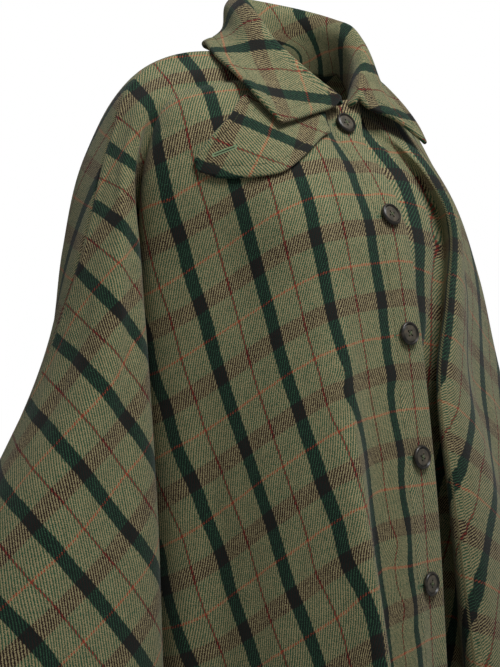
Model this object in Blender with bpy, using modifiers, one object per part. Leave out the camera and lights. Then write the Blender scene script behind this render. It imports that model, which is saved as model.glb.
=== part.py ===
"""A wool cape worn closed, with nobody in it: two fronts, a back, a turned-down collar, a throat tab
and a row of buttons.

Metres, +Z up. The front faces -Y and the wearer's left is +X. The origin is the middle of the neck at
the height where the shoulders start, because the shoulders carry the cape.
"""

import math
from collections import namedtuple

import bmesh
import bpy
import numpy as np
from mathutils import Vector

# Driving dimensions
CLOTH = 0.0025            # thickness of the wool
COLLAR_CLOTH = 0.0040     # the collar is two layers
TAB_CLOTH = 0.0034        # so is the throat tab
SEAM_GAP = 0.0006         # between pieces that are sewn together
FRONT_LAP = 0.022         # how far each front passes the centre line
LAP_STEP = 0.0076         # how far the left front lies under the right one
LAP_FADE = 0.075          # distance from the centre at which that step has faded out
LIFT = 1.4                # how late a ring climbs from the front drop to the shoulder drop
FLANK_ROUND = 0.010       # how far the flank of each front bulges
LEFT_ARM_FORWARD = 0.014  # the left arm is held a little further forward
FOLD_PITCH = 0.006        # spacing of a fold's points where the fold is still closed
BUTTON_DIAMETER = 0.023
BUTTON_THICKNESS = 0.0042
BUTTON_RIM = 0.0028
BUTTON_DISH = 0.0012
BUTTON_HOLE = 0.0020
BUTTON_HOLE_SPREAD = 0.0042
BUTTON_STAND_OFF = 0.0010
BUTTON_COUNT = 5
BUTTON_FIRST = 0.018      # from the neck edge down to the first button
BUTTON_PITCH = 0.1172

# The rings of the fronts, from the neck to the hem. reach is towards the front, drop is height.
FrontRow = namedtuple(
    "FrontRow", "name cf_reach cf_drop wing_x wing_reach outer_x outer_reach seam_x seam_reach seam_drop")
FRONT = [
    FrontRow("neck", 0.086, -0.068, 0.064, 0.036, 0.069, 0.024, 0.071, 0.012, -0.005),
    FrontRow("yoke", 0.103, -0.101, 0.130, 0.034, 0.137, 0.019, 0.140, 0.002, -0.017),
    FrontRow("shoulder", 0.139, -0.147, 0.191, 0.030, 0.195, 0.016, 0.197, 0.000, -0.056),
    FrontRow("upper_arm", 0.160, -0.188, 0.216, 0.034, 0.221, 0.020, 0.223, 0.005, -0.116),
    FrontRow("bust", 0.177, -0.268, 0.238, 0.050, 0.250, 0.032, 0.254, 0.012, -0.215),
    FrontRow("elbow", 0.187, -0.335, 0.256, 0.060, 0.275, 0.030, 0.277, -0.006, -0.308),
    FrontRow("hip", 0.203, -0.460, 0.296, 0.070, 0.339, 0.018, 0.329, -0.046, -0.450),
    FrontRow("thigh", 0.214, -0.600, 0.334, 0.084, 0.404, 0.012, 0.388, -0.074, -0.600),
    FrontRow("hem", 0.226, -0.785, 0.380, 0.104, 0.474, 0.008, 0.456, -0.106, -0.785),
]

# The ridge below the bust and the deep fold in front of the arm, ring by ring.
# pleat is the hollow between the ridge and the buttons, depth how far the arm fold runs in,
# lap how far its outer edge comes forward.
FoldRow = namedtuple("FoldRow", "apex_x apex_reach pleat crease_x crease_reach depth lap")
FOLDS_RIGHT = [
    FoldRow(0.030, 0.075, 0.000, 0.054, 0.052, 0.000, 0.000),
    FoldRow(0.058, 0.091, 0.000, 0.116, 0.052, 0.000, 0.000),
    FoldRow(0.078, 0.122, 0.000, 0.184, 0.040, 0.004, 0.004),
    FoldRow(0.082, 0.147, 0.000, 0.204, 0.034, 0.014, 0.009),
    FoldRow(0.080, 0.164, 0.000, 0.201, 0.026, 0.036, 0.016),
    FoldRow(0.079, 0.180, 0.003, 0.198, 0.030, 0.056, 0.019),
    FoldRow(0.078, 0.210, 0.010, 0.194, 0.038, 0.076, 0.021),
    FoldRow(0.077, 0.239, 0.016, 0.195, 0.048, 0.092, 0.022),
    FoldRow(0.077, 0.268, 0.020, 0.197, 0.060, 0.104, 0.022),
]
# The left front leaves the lap at turn, dips at start into a valley and comes back at ridge, a rolled edge
# from which the cloth hangs on over the arm by way of side.
LeftRow = namedtuple("LeftRow", "turn_x turn_reach start_x start_reach valley_x valley_reach valley_width "
                                "ridge_x ridge_reach side_x side_reach draw")
FOLDS_LEFT = [
    LeftRow(0.016, 0.083, 0.026, 0.078, 0.030, 0.075, 0.003, 0.042, 0.066, 0.056, 0.047, 0.000),
    LeftRow(0.030, 0.099, 0.042, 0.094, 0.047, 0.090, 0.006, 0.060, 0.090, 0.101, 0.062, 0.003),
    LeftRow(0.040, 0.133, 0.066, 0.121, 0.074, 0.113, 0.012, 0.083, 0.124, 0.133, 0.080, 0.011),
    LeftRow(0.044, 0.153, 0.076, 0.138, 0.085, 0.128, 0.018, 0.096, 0.145, 0.148, 0.098, 0.003),
    LeftRow(0.030, 0.173, 0.056, 0.162, 0.062, 0.151, 0.021, 0.070, 0.169, 0.150, 0.126, 0.000),
    LeftRow(0.018, 0.184, 0.032, 0.176, 0.036, 0.160, 0.030, 0.042, 0.184, 0.140, 0.140, 0.000),
    LeftRow(0.016, 0.200, 0.030, 0.187, 0.034, 0.160, 0.048, 0.047, 0.199, 0.160, 0.165, 0.000),
    LeftRow(0.016, 0.211, 0.031, 0.197, 0.037, 0.152, 0.066, 0.067, 0.204, 0.185, 0.172, 0.000),
    LeftRow(0.016, 0.223, 0.033, 0.208, 0.042, 0.150, 0.090, 0.092, 0.214, 0.220, 0.190, 0.000),
]
LEFT_ROLL = np.array([0.009, 0.004])   # from the ridge to the point where its roll has turned

BackRow = namedtuple("BackRow", "cb_reach cb_drop blade_x blade_reach backwing_x backwing_reach")
BACK = [
    BackRow(-0.050, 0.016, 0.042, -0.038, 0.066, -0.012),
    BackRow(-0.090, -0.010, 0.085, -0.076, 0.132, -0.034),
    BackRow(-0.116, -0.056, 0.125, -0.102, 0.188, -0.038),
    BackRow(-0.132, -0.114, 0.145, -0.120, 0.219, -0.042),
    BackRow(-0.142, -0.205, 0.150, -0.132, 0.245, -0.044),
    BackRow(-0.148, -0.298, 0.150, -0.142, 0.252, -0.060),
    BackRow(-0.158, -0.440, 0.155, -0.160, 0.284, -0.098),
    BackRow(-0.170, -0.590, 0.165, -0.182, 0.338, -0.134),
    BackRow(-0.190, -0.785, 0.180, -0.210, 0.394, -0.176),
]

# Soft flares of the back and the wings: place is the share of the whole ring from the right front
# edge to the left one, start the share of the drop where the flare begins.
Flare = namedtuple("Flare", "place width start depth")
FLARES = [
    Flare(0.315, 0.030, 0.40, 0.016),
    Flare(0.360, 0.026, 0.45, -0.014),
    Flare(0.405, 0.028, 0.30, 0.022),
    Flare(0.450, 0.026, 0.35, -0.020),
    Flare(0.495, 0.028, 0.28, 0.024),
    Flare(0.545, 0.026, 0.35, -0.022),
    Flare(0.592, 0.028, 0.32, 0.022),
    Flare(0.640, 0.026, 0.45, -0.014),
    Flare(0.684, 0.030, 0.40, 0.015),
]

# The collar, from its right front end round the back to its left one: where its roll line and its
# outer edge pass. neck_share runs along the neck edge, 1 at the centre back. turn is the radius of
# the roll and bulge how far the leaf rounds out.
CollarRow = namedtuple(
    "CollarRow", "neck_share roll_x roll_reach roll_drop edge_x edge_reach edge_drop turn bulge")
COLLAR = [
    CollarRow(0.050, -0.008, 0.096, -0.059, -0.096, 0.110, -0.096, 0.0040, 0.002),
    CollarRow(0.170, -0.031, 0.083, -0.040, -0.107, 0.097, -0.077, 0.0050, 0.005),
    CollarRow(0.270, -0.046, 0.064, -0.018, -0.115, 0.084, -0.060, 0.0060, 0.007),
    CollarRow(0.380, -0.056, 0.045, 0.004, -0.115, 0.059, -0.040, 0.0060, 0.008),
    CollarRow(0.500, -0.061, 0.026, 0.030, -0.112, 0.026, -0.018, 0.0060, 0.009),
    CollarRow(0.640, -0.060, 0.002, 0.050, -0.101, -0.006, 0.002, 0.0060, 0.010),
    CollarRow(0.830, -0.042, -0.036, 0.066, -0.067, -0.054, 0.013, 0.0060, 0.010),
    CollarRow(1.000, 0.000, -0.057, 0.075, 0.000, -0.092, 0.020, 0.0060, 0.009),
    CollarRow(1.170, 0.046, -0.034, 0.068, 0.072, -0.053, 0.013, 0.0060, 0.010),
    CollarRow(1.360, 0.064, 0.008, 0.050, 0.104, 0.006, 0.001, 0.0060, 0.009),
    CollarRow(1.500, 0.066, 0.034, 0.036, 0.111, 0.036, -0.020, 0.0060, 0.009),
    CollarRow(1.620, 0.062, 0.054, 0.012, 0.113, 0.060, -0.042, 0.0060, 0.007),
    CollarRow(1.730, 0.048, 0.072, -0.014, 0.112, 0.080, -0.062, 0.0060, 0.006),
    CollarRow(1.830, 0.033, 0.085, -0.034, 0.110, 0.093, -0.077, 0.0050, 0.001),
    CollarRow(1.930, 0.020, 0.094, -0.055, 0.108, 0.104, -0.093, 0.0040, -0.004),
]
STAND_ROUND = 0.003
COLLAR_LIFT = 0.0060      # from the neck edge to the foot of the stand

# The throat tab lies on the right front, from its sewn end under the collar to its pointed end: the
# distance of its upper and lower edges from the centre line along the ring, and their share of the drop.
TabRow = namedtuple("TabRow", "upper_out upper_drop lower_out lower_drop")
TAB = [
    TabRow(0.034, 0.050, 0.041, 0.092),
    TabRow(0.076, 0.052, 0.080, 0.134),
    TabRow(0.127, 0.077, 0.120, 0.180),
    TabRow(0.161, 0.129, 0.168, 0.204),
    TabRow(0.189, 0.171, 0.194, 0.210),
    TabRow(0.205, 0.197, 0.203, 0.208),
]
TAB_LIFT = 0.0020
TAB_LENGTH_STEPS = 3
TAB_WIDTH_STEPS = 5

FRONT_STEPS = [2, 2, 3, 3, 4, 4, 3, 2, 3, 4, 3, 2]   # ring divisions between a front's named points
BACK_STEPS = [3, 6, 7, 7, 6, 3]
DROP_STEPS = 15
COLLAR_STEPS = 2
COLLAR_ACROSS = 2

CLOTH_COLOUR = (0.150, 0.148, 0.082, 1.0)
BUTTON_COLOUR = (0.045, 0.038, 0.030, 1.0)


def spline(points, steps):
    """A smooth curve through the points: chord-length tangents, with the given divisions per span."""
    points = np.asarray(points, float)
    chords = np.maximum(np.linalg.norm(np.diff(points, axis=0), axis=1), 1e-6)
    slopes = np.diff(points, axis=0) / chords[:, None]
    tangents = np.empty_like(points)
    tangents[1:-1] = ((slopes[:-1] * chords[1:, None] + slopes[1:] * chords[:-1, None])
                      / (chords[:-1] + chords[1:])[:, None])
    tangents[0] = 1.5 * slopes[0] - 0.5 * tangents[1]
    tangents[-1] = 1.5 * slopes[-1] - 0.5 * tangents[-2]
    curve = []
    for k, count in enumerate(steps):
        for u in np.arange(count) / count:
            curve.append(hermite(points[k], points[k + 1], tangents[k] * chords[k],
                                 tangents[k + 1] * chords[k], u))
    curve.append(points[-1])
    return np.array(curve)


def hermite(a, b, leave_a, reach_b, u):
    """The cubic from a to b with the given end tangents, at u from 0 to 1."""
    return ((2 * u**3 - 3 * u**2 + 1) * a + (u**3 - 2 * u**2 + u) * leave_a
            + (3 * u**2 - 2 * u**3) * b + (u**3 - u**2) * reach_b)


def unit(v):
    return v / max(np.linalg.norm(v), 1e-9)


def runs_along(line):
    """The distance of each point from the start of a line of points."""
    return np.concatenate([[0], np.cumsum(np.linalg.norm(np.diff(line, axis=0), axis=1))])


def shares_along(base):
    """How far along a front's base line each of its named points lies, from 0 to 1."""
    runs = runs_along(np.array(list(base.values())))
    return dict(zip(base, runs / runs[-1]))


def with_drops(row, climb, side):
    """Points of a front with their drops, which climb late from the front drop to the shoulder drop.
    side is -1 for the wearer's right and 1 for the left."""
    ring = []
    for share, (x, reach) in climb:
        z = row.cf_drop + (row.seam_drop - row.cf_drop) * share ** LIFT
        ring.append((side * x, -reach, z))
    return ring


def right_ring(row, fold):
    """The named points of the right front at one section, from its free edge to the shoulder seam."""
    cf = np.array([0.0, row.cf_reach])
    apex = np.array([fold.apex_x, fold.apex_reach])
    crease = np.array([fold.crease_x, fold.crease_reach])
    wing = np.array([row.wing_x, row.wing_reach])
    outer_edge = np.array([row.outer_x, row.outer_reach])
    seam = np.array([row.seam_x, row.seam_reach])
    onward = unit(crease - apex)
    outward = np.array([-onward[1], onward[0]])
    outward *= np.sign(outward @ crease) or 1.0
    flank = (apex + crease) / 2 + outward * min(FLANK_ROUND, 0.1 * np.linalg.norm(crease - apex))
    near = apex + (cf - apex) * 0.74
    steep = min(1.0, fold.pleat / 0.010)
    hollow = apex + (cf - apex) * (0.40 - 0.24 * steep) - np.array([0.0, fold.pleat])
    edge = np.array([-FRONT_LAP, cf[1] - 0.10 * FRONT_LAP])

    # The arm fold: a closed row of points that opens into a hollow and an edge that comes forward.
    opened = min(1.0, fold.depth / 0.036)
    onward = unit(wing - crease)
    closed = [crease + onward * FOLD_PITCH * k for k in (-1.2, -0.4, 0.4, 1.2)]
    open_fold = [crease,
                 np.array([fold.crease_x - 0.016, fold.crease_reach - fold.depth]),
                 np.array([fold.crease_x, fold.crease_reach - fold.depth]),
                 crease + np.array([0.009, fold.lap])]
    start, inner, outer, ridge = [c + (o - c) * opened for c, o in zip(closed, open_fold)]
    base = {"cf": cf, "near": near, "apex": apex, "flank": flank, "crease": crease,
            "wing": wing, "outer": outer_edge, "seam": seam}
    share = shares_along(base)
    climb = [("cf", edge), ("cf", cf), ("near", near), ("apex", hollow), ("apex", apex),
             ("flank", flank), ("crease", start), ("crease", inner), ("crease", outer),
             ("crease", ridge), ("wing", wing), ("outer", outer_edge), ("seam", seam)]
    return with_drops(row, [(share[name], point) for name, point in climb], -1)


def left_ring(row, fold):
    """The named points of the left front at one section, from its free edge to the shoulder seam."""
    cf = np.array([0.0, row.cf_reach])
    edge = np.array([-FRONT_LAP, cf[1] - 0.10 * FRONT_LAP])
    turn = np.array([fold.turn_x, fold.turn_reach])
    start = np.array([fold.start_x, fold.start_reach])
    inner = np.array([fold.valley_x, fold.valley_reach])
    outer = inner + np.array([fold.valley_width, -0.001])
    ridge = np.array([fold.ridge_x, fold.ridge_reach])
    side = np.array([fold.side_x, fold.side_reach])
    opened = np.clip((fold.ridge_reach - fold.valley_reach) / 0.034, 0, 1)
    rolled = ridge + LEFT_ROLL * opened + unit(side - ridge) * 0.007 * (1 - opened)
    forward = LEFT_ARM_FORWARD * min(1.0, -row.seam_drop / 0.2)
    wing = np.array([row.wing_x - fold.draw, row.wing_reach + forward - fold.draw])
    outer_edge = np.array([row.outer_x - fold.draw / 2, row.outer_reach + forward - fold.draw / 2])
    seam = np.array([row.seam_x, row.seam_reach])
    base = {"cf": cf, "turn": turn, "start": start, "ridge": ridge, "side": side,
            "wing": wing, "outer": outer_edge, "seam": seam}
    share = shares_along(base)
    third = (share["ridge"] - share["start"]) / 3
    past_ridge = share["ridge"] + (share["side"] - share["ridge"]) * 0.12
    climb = [(0, edge), (0, cf), (share["turn"] / 2, (cf + turn) / 2), (share["turn"], turn),
             (share["start"], start), (share["start"] + third, inner), (share["start"] + 2 * third, outer),
             (share["ridge"], ridge), (past_ridge, rolled), (share["side"], side),
             (share["wing"], wing), (share["outer"], outer_edge), (1, seam)]
    return with_drops(row, climb, 1)


def back_ring(row, back):
    """The named points of the back at one section, between the two shoulder seams."""
    middle = []
    for side in (-1, 1):
        wing = (side * back.backwing_x, -back.backwing_reach, row.seam_drop)
        blade_z = back.cb_drop + (row.seam_drop - back.cb_drop) * 0.35
        wing_z = back.cb_drop + (row.seam_drop - back.cb_drop) * 0.85
        blade = (side * back.blade_x, -back.blade_reach, blade_z)
        wing = (wing[0], wing[1], wing_z)
        middle.append([wing, blade])
    centre = (0.0, -back.cb_reach, back.cb_drop)
    return middle[0] + [centre] + middle[1][::-1]


def named_rings():
    """The named points of the whole cape: section by section, from the right front edge round the back."""
    rings = []
    for row, right, left, back in zip(FRONT, FOLDS_RIGHT, FOLDS_LEFT, BACK):
        rings.append(right_ring(row, right) + back_ring(row, back) + left_ring(row, left)[::-1])
    return np.array(rings)


def drop_shares(rings):
    """How far down the cape each section lies, from 0 at the neck to 1 at the hem."""
    steps = np.linalg.norm(np.diff(rings, axis=0), axis=2).mean(axis=1)
    runs = np.concatenate([[0], np.cumsum(steps)])
    return runs / runs[-1]


def at_drop(rings, shares, t):
    """The named points at any share of the drop, on smooth curves down the sections."""
    k = int(np.clip(np.searchsorted(shares, t, side="right") - 1, 0, len(shares) - 2))
    span = shares[k + 1] - shares[k]

    def slope(j):
        if j == 0 or j == len(shares) - 1:
            a, b = (0, 1) if j == 0 else (len(shares) - 2, len(shares) - 1)
            return (rings[b] - rings[a]) / (shares[b] - shares[a])
        before, after = shares[j] - shares[j - 1], shares[j + 1] - shares[j]
        return (((rings[j] - rings[j - 1]) / before) * after
                + ((rings[j + 1] - rings[j]) / after) * before) / (before + after)

    return hermite(rings[k], rings[k + 1], slope(k) * span, slope(k + 1) * span, (t - shares[k]) / span)


def bump(x):
    """A soft ridge, 1 in the middle and 0 from a distance of 1 outwards."""
    return np.where(np.abs(x) < 1, 0.5 + 0.5 * np.cos(np.pi * np.clip(x, -1, 1)), 0.0)


def cape_surface(drops, front_steps=FRONT_STEPS, back_steps=BACK_STEPS):
    """The cape's outer face as rows of points, one ring for each drop, with the flares added."""
    rings = named_rings()
    shares = drop_shares(rings)
    joints = front_steps + back_steps + front_steps[::-1]
    surface = np.array([spline(at_drop(rings, shares, t), joints) for t in drops])
    normals = face_normals(surface)
    columns = np.linspace(0, 1, surface.shape[1])
    for flare in FLARES:
        across = bump((columns - flare.place) / flare.width)
        down = np.clip((np.array(drops) - flare.start) / (1 - flare.start), 0, 1) ** 1.3
        surface = surface + flare.depth * (down[:, None] * across[None, :])[..., None] * normals
    return tuck_left(surface, front_steps)


def tuck_left(surface, front_steps):
    """Lays the left front under the right one: near the centre line it is moved in by the lap step."""
    first = surface.shape[1] - 1 - sum(front_steps)
    centre = surface.shape[1] - 1 - front_steps[0]
    steps = np.linalg.norm(np.diff(surface[:, first:], axis=1), axis=2)
    runs = np.concatenate([np.zeros((len(surface), 1)), np.cumsum(steps, axis=1)], axis=1)
    apart = np.maximum(runs[:, centre - first, None] - runs, 0.0)
    fade = np.clip(1 - (apart / LAP_FADE) ** 2, 0, 1)
    tucked = surface.copy()
    tucked[:, first:] -= LAP_STEP * fade[..., None] * face_normals(surface)[:, first:]
    return tucked


def face_normals(surface):
    """Outward unit normals of a grid of points that runs from the right front round the back."""
    around = np.gradient(surface, axis=1)
    down = np.gradient(surface, axis=0)
    normals = np.cross(around, down)
    return normals / np.maximum(np.linalg.norm(normals, axis=2, keepdims=True), 1e-12)


def wall(name, outer, inner, material):
    """A closed wall between two grids of points of the same shape."""
    rows, columns = outer.shape[:2]
    mesh = bmesh.new()
    sheets = [[[mesh.verts.new(p) for p in line] for line in grid] for grid in (outer, inner)]
    for sheet, turned in zip(sheets, (False, True)):
        for r in range(rows - 1):
            for c in range(columns - 1):
                corners = [sheet[r][c], sheet[r][c + 1], sheet[r + 1][c + 1], sheet[r + 1][c]]
                mesh.faces.new(corners[::-1] if turned else corners)
    border = ([(0, c) for c in range(columns)] + [(r, columns - 1) for r in range(1, rows)]
              + [(rows - 1, c) for c in range(columns - 2, -1, -1)]
              + [(r, 0) for r in range(rows - 2, 0, -1)])
    for (r, c), (s, d) in zip(border, border[1:] + border[:1]):
        mesh.faces.new([sheets[0][s][d], sheets[0][r][c], sheets[1][r][c], sheets[1][s][d]])
    bmesh.ops.recalc_face_normals(mesh, faces=mesh.faces)
    return finish(name, mesh, material)


def finish(name, mesh, material):
    """Turns a bmesh into a named object of the cape."""
    data = bpy.data.meshes.new(name)
    mesh.to_mesh(data)
    mesh.free()
    data.shade_smooth()
    data.set_sharp_from_angle(angle=math.radians(40))
    data.materials.append(material)
    made = bpy.data.objects.new(name, data)
    CAPE.objects.link(made)
    return made


def principled(name, colour, roughness):
    material = bpy.data.materials.new(name)
    material.use_nodes = True
    shader = material.node_tree.nodes["Principled BSDF"]
    shader.inputs["Base Color"].default_value = colour
    shader.inputs["Roughness"].default_value = roughness
    shader.inputs["Metallic"].default_value = 0.0
    return material


def cut_back(surface, first, last):
    """The columns first to last of a surface, with each sewn end drawn back by half the seam gap."""
    piece = surface[:, first:last + 1].copy()
    for end, inward in ((0, 1), (-1, -2)):
        if (first if end == 0 else last) in (0, surface.shape[1] - 1):
            continue
        step = piece[:, inward] - piece[:, end]
        piece[:, end] += step / np.linalg.norm(step, axis=1, keepdims=True) * SEAM_GAP / 2
    return piece


def make_panels(cloth):
    """The two fronts and the back, cut from one surface at the shoulder seams."""
    drops = np.linspace(0, 1, DROP_STEPS + 1) ** 1.12
    outer = cape_surface(drops)
    inner = outer - CLOTH * face_normals(outer)
    right_seam = sum(FRONT_STEPS)
    left_seam = outer.shape[1] - 1 - right_seam
    for name, first, last in (("front_right", 0, right_seam), ("back", right_seam, left_seam),
                              ("front_left", left_seam, outer.shape[1] - 1)):
        wall(name, cut_back(outer, first, last), cut_back(inner, first, last), cloth)


def neck_halves(surface):
    """The neck edge of each half, from the centre front to the centre back: the right one, the left one."""
    middle = surface.shape[1] // 2
    lap = FRONT_STEPS[0]
    return surface[0, lap:middle + 1], surface[0, middle:-lap][::-1]


def along(line, share):
    """The point at a share of a line's length."""
    runs = np.concatenate([[0], np.cumsum(np.linalg.norm(np.diff(line, axis=0), axis=1))])
    return np.array([np.interp(share * runs[-1], runs, line[:, k]) for k in range(3)])


def collar_section(row, seam):
    """The named points across the collar: up the stand, over the roll and down the leaf."""
    roll = np.array([row.roll_x, -row.roll_reach, row.roll_drop])
    edge = np.array([row.edge_x, -row.edge_reach, row.edge_drop])
    flat = unit((edge - seam) * (1, 1, 0.0))
    up = np.array([0, 0, 1.0])
    rise = roll - (flat + up) * row.turn
    fall = roll + (flat - up) * row.turn
    stand = (seam + rise) / 2 - flat * STAND_ROUND
    leaf = (fall + edge) / 2 + unit(np.cross(np.cross(up, flat), edge - fall)) * row.bulge
    return [seam, stand, rise, roll, fall, leaf, edge]


def make_collar(cloth):
    """The collar: smooth curves round the neck through its rows."""
    right_neck, left_neck = neck_halves(cape_surface([0.0, 0.05]))
    outer = []
    for values in spline(COLLAR, [COLLAR_STEPS] * (len(COLLAR) - 1)):
        row = CollarRow(*values)
        seam = along(right_neck, row.neck_share) if row.neck_share <= 1 else along(left_neck, 2 - row.neck_share)
        seam = seam + np.array([0, 0, COLLAR_LIFT])
        outer.append(spline(collar_section(row, seam), [COLLAR_ACROSS] * 6))
    outer = np.transpose(np.array(outer), (1, 0, 2))
    half = COLLAR_CLOTH / 2 * face_normals(outer)
    wall("collar", outer + half, outer - half, cloth)


def on_right_front(surface, drops, out, drop):
    """The point of the right front at a distance from the centre line and a share of the drop."""
    place = float(np.interp(drop, drops, np.arange(len(drops))))
    row = min(int(place), len(drops) - 2)
    ring = surface[row] + (surface[row + 1] - surface[row]) * (place - row)
    ring = ring[FRONT_STEPS[0]:]
    runs = np.concatenate([[0], np.cumsum(np.linalg.norm(np.diff(ring, axis=0), axis=1))])
    return np.array([np.interp(out, runs, ring[:, k]) for k in range(3)])


def make_tab(cloth):
    drops = np.linspace(0, 0.3, 61)
    surface = cape_surface(drops)[:, :sum(FRONT_STEPS) + 1]
    rows = spline([(*row,) for row in TAB], [TAB_LENGTH_STEPS] * (len(TAB) - 1))
    lying = []
    for upper_out, upper_drop, lower_out, lower_drop in rows:
        widths = np.linspace(0, 1, TAB_WIDTH_STEPS + 1)
        lying.append([on_right_front(surface, drops, lower_out + (upper_out - lower_out) * w,
                                     lower_drop + (upper_drop - lower_drop) * w) for w in widths])
    lying = np.transpose(np.array(lying), (1, 0, 2))[::-1]
    outward = face_normals(lying)
    under = lying + TAB_LIFT * outward
    wall("throat_tab", under + TAB_CLOTH * outward, under, cloth)


def button_profile():
    """Half the button's section, from the middle of its dished face over the rim to its flat back."""
    radius, rim = BUTTON_DIAMETER / 2, BUTTON_RIM
    top, dish = BUTTON_THICKNESS, BUTTON_THICKNESS - BUTTON_DISH
    return [(0.0, dish), (radius - rim - 0.0010, dish), (radius - rim, top - 0.0002),
            (radius - rim / 2, top), (radius - 0.0004, top - 0.0010), (radius, top / 2),
            (radius - 0.0010, 0.0002), (radius - 0.0020, 0.0), (0.0, 0.0)]


def make_button(name, place, outward, plastic):
    """A four-hole button: a turned disc with four round holes cut through it."""
    data = bpy.data.meshes.new(name + "_turned")
    profile = [(r, 0.0, z) for r, z in button_profile()]
    data.from_pydata(profile, [(k, k + 1) for k in range(len(profile) - 1)], [])
    turned = bpy.data.objects.new(name + "_turned", data)
    CUTTERS.objects.link(turned)
    screw = turned.modifiers.new("turn", "SCREW")
    screw.steps = screw.render_steps = 16
    screw.use_merge_vertices = True
    screw.merge_threshold = 0.00005
    mesh = bmesh.new()
    mesh.from_mesh(evaluated(turned))
    bpy.data.objects.remove(turned)
    bmesh.ops.remove_doubles(mesh, verts=mesh.verts, dist=0.00005)
    bmesh.ops.recalc_face_normals(mesh, faces=mesh.faces)
    button = finish(name, mesh, plastic)
    holes = bmesh.new()
    for k in range(4):
        angle = math.pi / 4 + k * math.pi / 2
        hole = bmesh.ops.create_cone(holes, cap_ends=True, segments=6, radius1=BUTTON_HOLE / 2,
                                     radius2=BUTTON_HOLE / 2, depth=3 * BUTTON_THICKNESS)
        across = BUTTON_HOLE_SPREAD / 2 * math.sqrt(2)
        bmesh.ops.translate(holes, verts=hole["verts"],
                            vec=(across * math.cos(angle), across * math.sin(angle), 0))
    cutter = finish(name + "_holes", holes, plastic)
    CAPE.objects.unlink(cutter)
    CUTTERS.objects.link(cutter)
    cutter.hide_render = True
    cutter.display_type = "WIRE"
    cut = button.modifiers.new("holes", "BOOLEAN")
    cut.object = cutter
    cut.operation = "DIFFERENCE"
    turn = Vector(outward).to_track_quat("Z", "Y")
    for made in (button, cutter):
        made.rotation_mode = "QUATERNION"
        made.rotation_quaternion = turn
        made.location = place
    return button


def evaluated(made):
    """The mesh of an object with its modifiers applied."""
    graph = bpy.context.evaluated_depsgraph_get()
    return bpy.data.meshes.new_from_object(made.evaluated_get(graph))


def make_buttons(plastic):
    drops = np.linspace(0, 1, 161)
    surface = cape_surface(drops)
    normals = face_normals(surface)
    column = FRONT_STEPS[0]
    line = surface[:, column]
    runs = np.concatenate([[0], np.cumsum(np.linalg.norm(np.diff(line, axis=0), axis=1))])
    for k in range(BUTTON_COUNT):
        run = BUTTON_FIRST + k * BUTTON_PITCH
        place = np.array([np.interp(run, runs, line[:, j]) for j in range(3)])
        outward = unit(np.array([np.interp(run, runs, normals[:, column, j]) for j in range(3)]))
        make_button(f"button_{k + 1}", place + outward * BUTTON_STAND_OFF, outward, plastic)


for leftover in list(bpy.data.objects):
    bpy.data.objects.remove(leftover)
CAPE = bpy.data.collections.new("cape")
CUTTERS = bpy.data.collections.new("cutters")
bpy.context.scene.collection.children.link(CAPE)
bpy.context.scene.collection.children.link(CUTTERS)
wool = principled("wool", CLOTH_COLOUR, 0.95)
horn = principled("button_horn", BUTTON_COLOUR, 0.35)
make_panels(wool)
make_collar(wool)
make_tab(wool)
make_buttons(horn)
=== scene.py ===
# %% [markdown]
# A plaid wool cape, dressed over its solids.
# The solids already give the cape's size and hang. This lesson makes the cloth that shows: fine walls with
# soft edges and creases, a woven plaid laid as the cutter laid it, and the sewing and buttons on top.

# %% Load the frame
import math
from collections import namedtuple

import bmesh
import bpy
import numpy as np
from mathutils import Matrix, Vector
from mathutils.bvhtree import BVHTree


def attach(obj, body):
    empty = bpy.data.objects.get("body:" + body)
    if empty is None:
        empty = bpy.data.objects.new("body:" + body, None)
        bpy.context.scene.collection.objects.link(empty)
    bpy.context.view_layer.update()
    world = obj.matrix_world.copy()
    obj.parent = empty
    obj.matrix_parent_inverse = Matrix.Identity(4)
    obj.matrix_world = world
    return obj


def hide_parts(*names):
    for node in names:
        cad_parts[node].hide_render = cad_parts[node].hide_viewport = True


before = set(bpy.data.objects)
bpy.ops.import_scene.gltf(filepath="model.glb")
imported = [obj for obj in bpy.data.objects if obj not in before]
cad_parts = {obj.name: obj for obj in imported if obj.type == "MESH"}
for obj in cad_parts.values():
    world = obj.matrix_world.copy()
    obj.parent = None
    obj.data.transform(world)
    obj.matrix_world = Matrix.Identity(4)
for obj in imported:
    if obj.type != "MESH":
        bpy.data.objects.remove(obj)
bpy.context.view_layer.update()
print("solids:", sorted(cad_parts))

# %% [markdown]
# The camera comes first, because the plaid is laid by where its stripes pass in the picture.
# It stands level, in front of the wearer's right side. Its focal length is given in pixels of the picture,
# and the lens in millimetres follows from it.

# %% Camera
PICTURE_WIDTH = 500
PICTURE_HEIGHT = 667
FOCAL_PIXELS = 1111
CAMERA_TURN = math.radians(38)      # from the front towards the wearer's right
CAMERA_DISTANCE = 1.2
CAMERA_ASIDE = -0.038
CAMERA_HEIGHT = -0.296

TO_CAMERA = Vector((-math.sin(CAMERA_TURN), -math.cos(CAMERA_TURN), 0))
TO_RIGHT = Vector((math.cos(CAMERA_TURN), -math.sin(CAMERA_TURN), 0))
UP = Vector((0, 0, 1))


def add_object(name, data):
    """A new object with the given data, put in the scene."""
    made = bpy.data.objects.new(name, data)
    bpy.context.scene.collection.objects.link(made)
    return made


camera = add_object("camera", bpy.data.cameras.new("camera"))
camera.location = TO_CAMERA * CAMERA_DISTANCE + TO_RIGHT * CAMERA_ASIDE + UP * CAMERA_HEIGHT
camera.rotation_mode = "QUATERNION"
camera.rotation_quaternion = TO_CAMERA.to_track_quat("Z", "Y")
camera.data.lens = camera.data.sensor_width * FOCAL_PIXELS / PICTURE_HEIGHT
bpy.context.scene.camera = camera
bpy.context.scene.view_settings.view_transform = "Standard"


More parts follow.
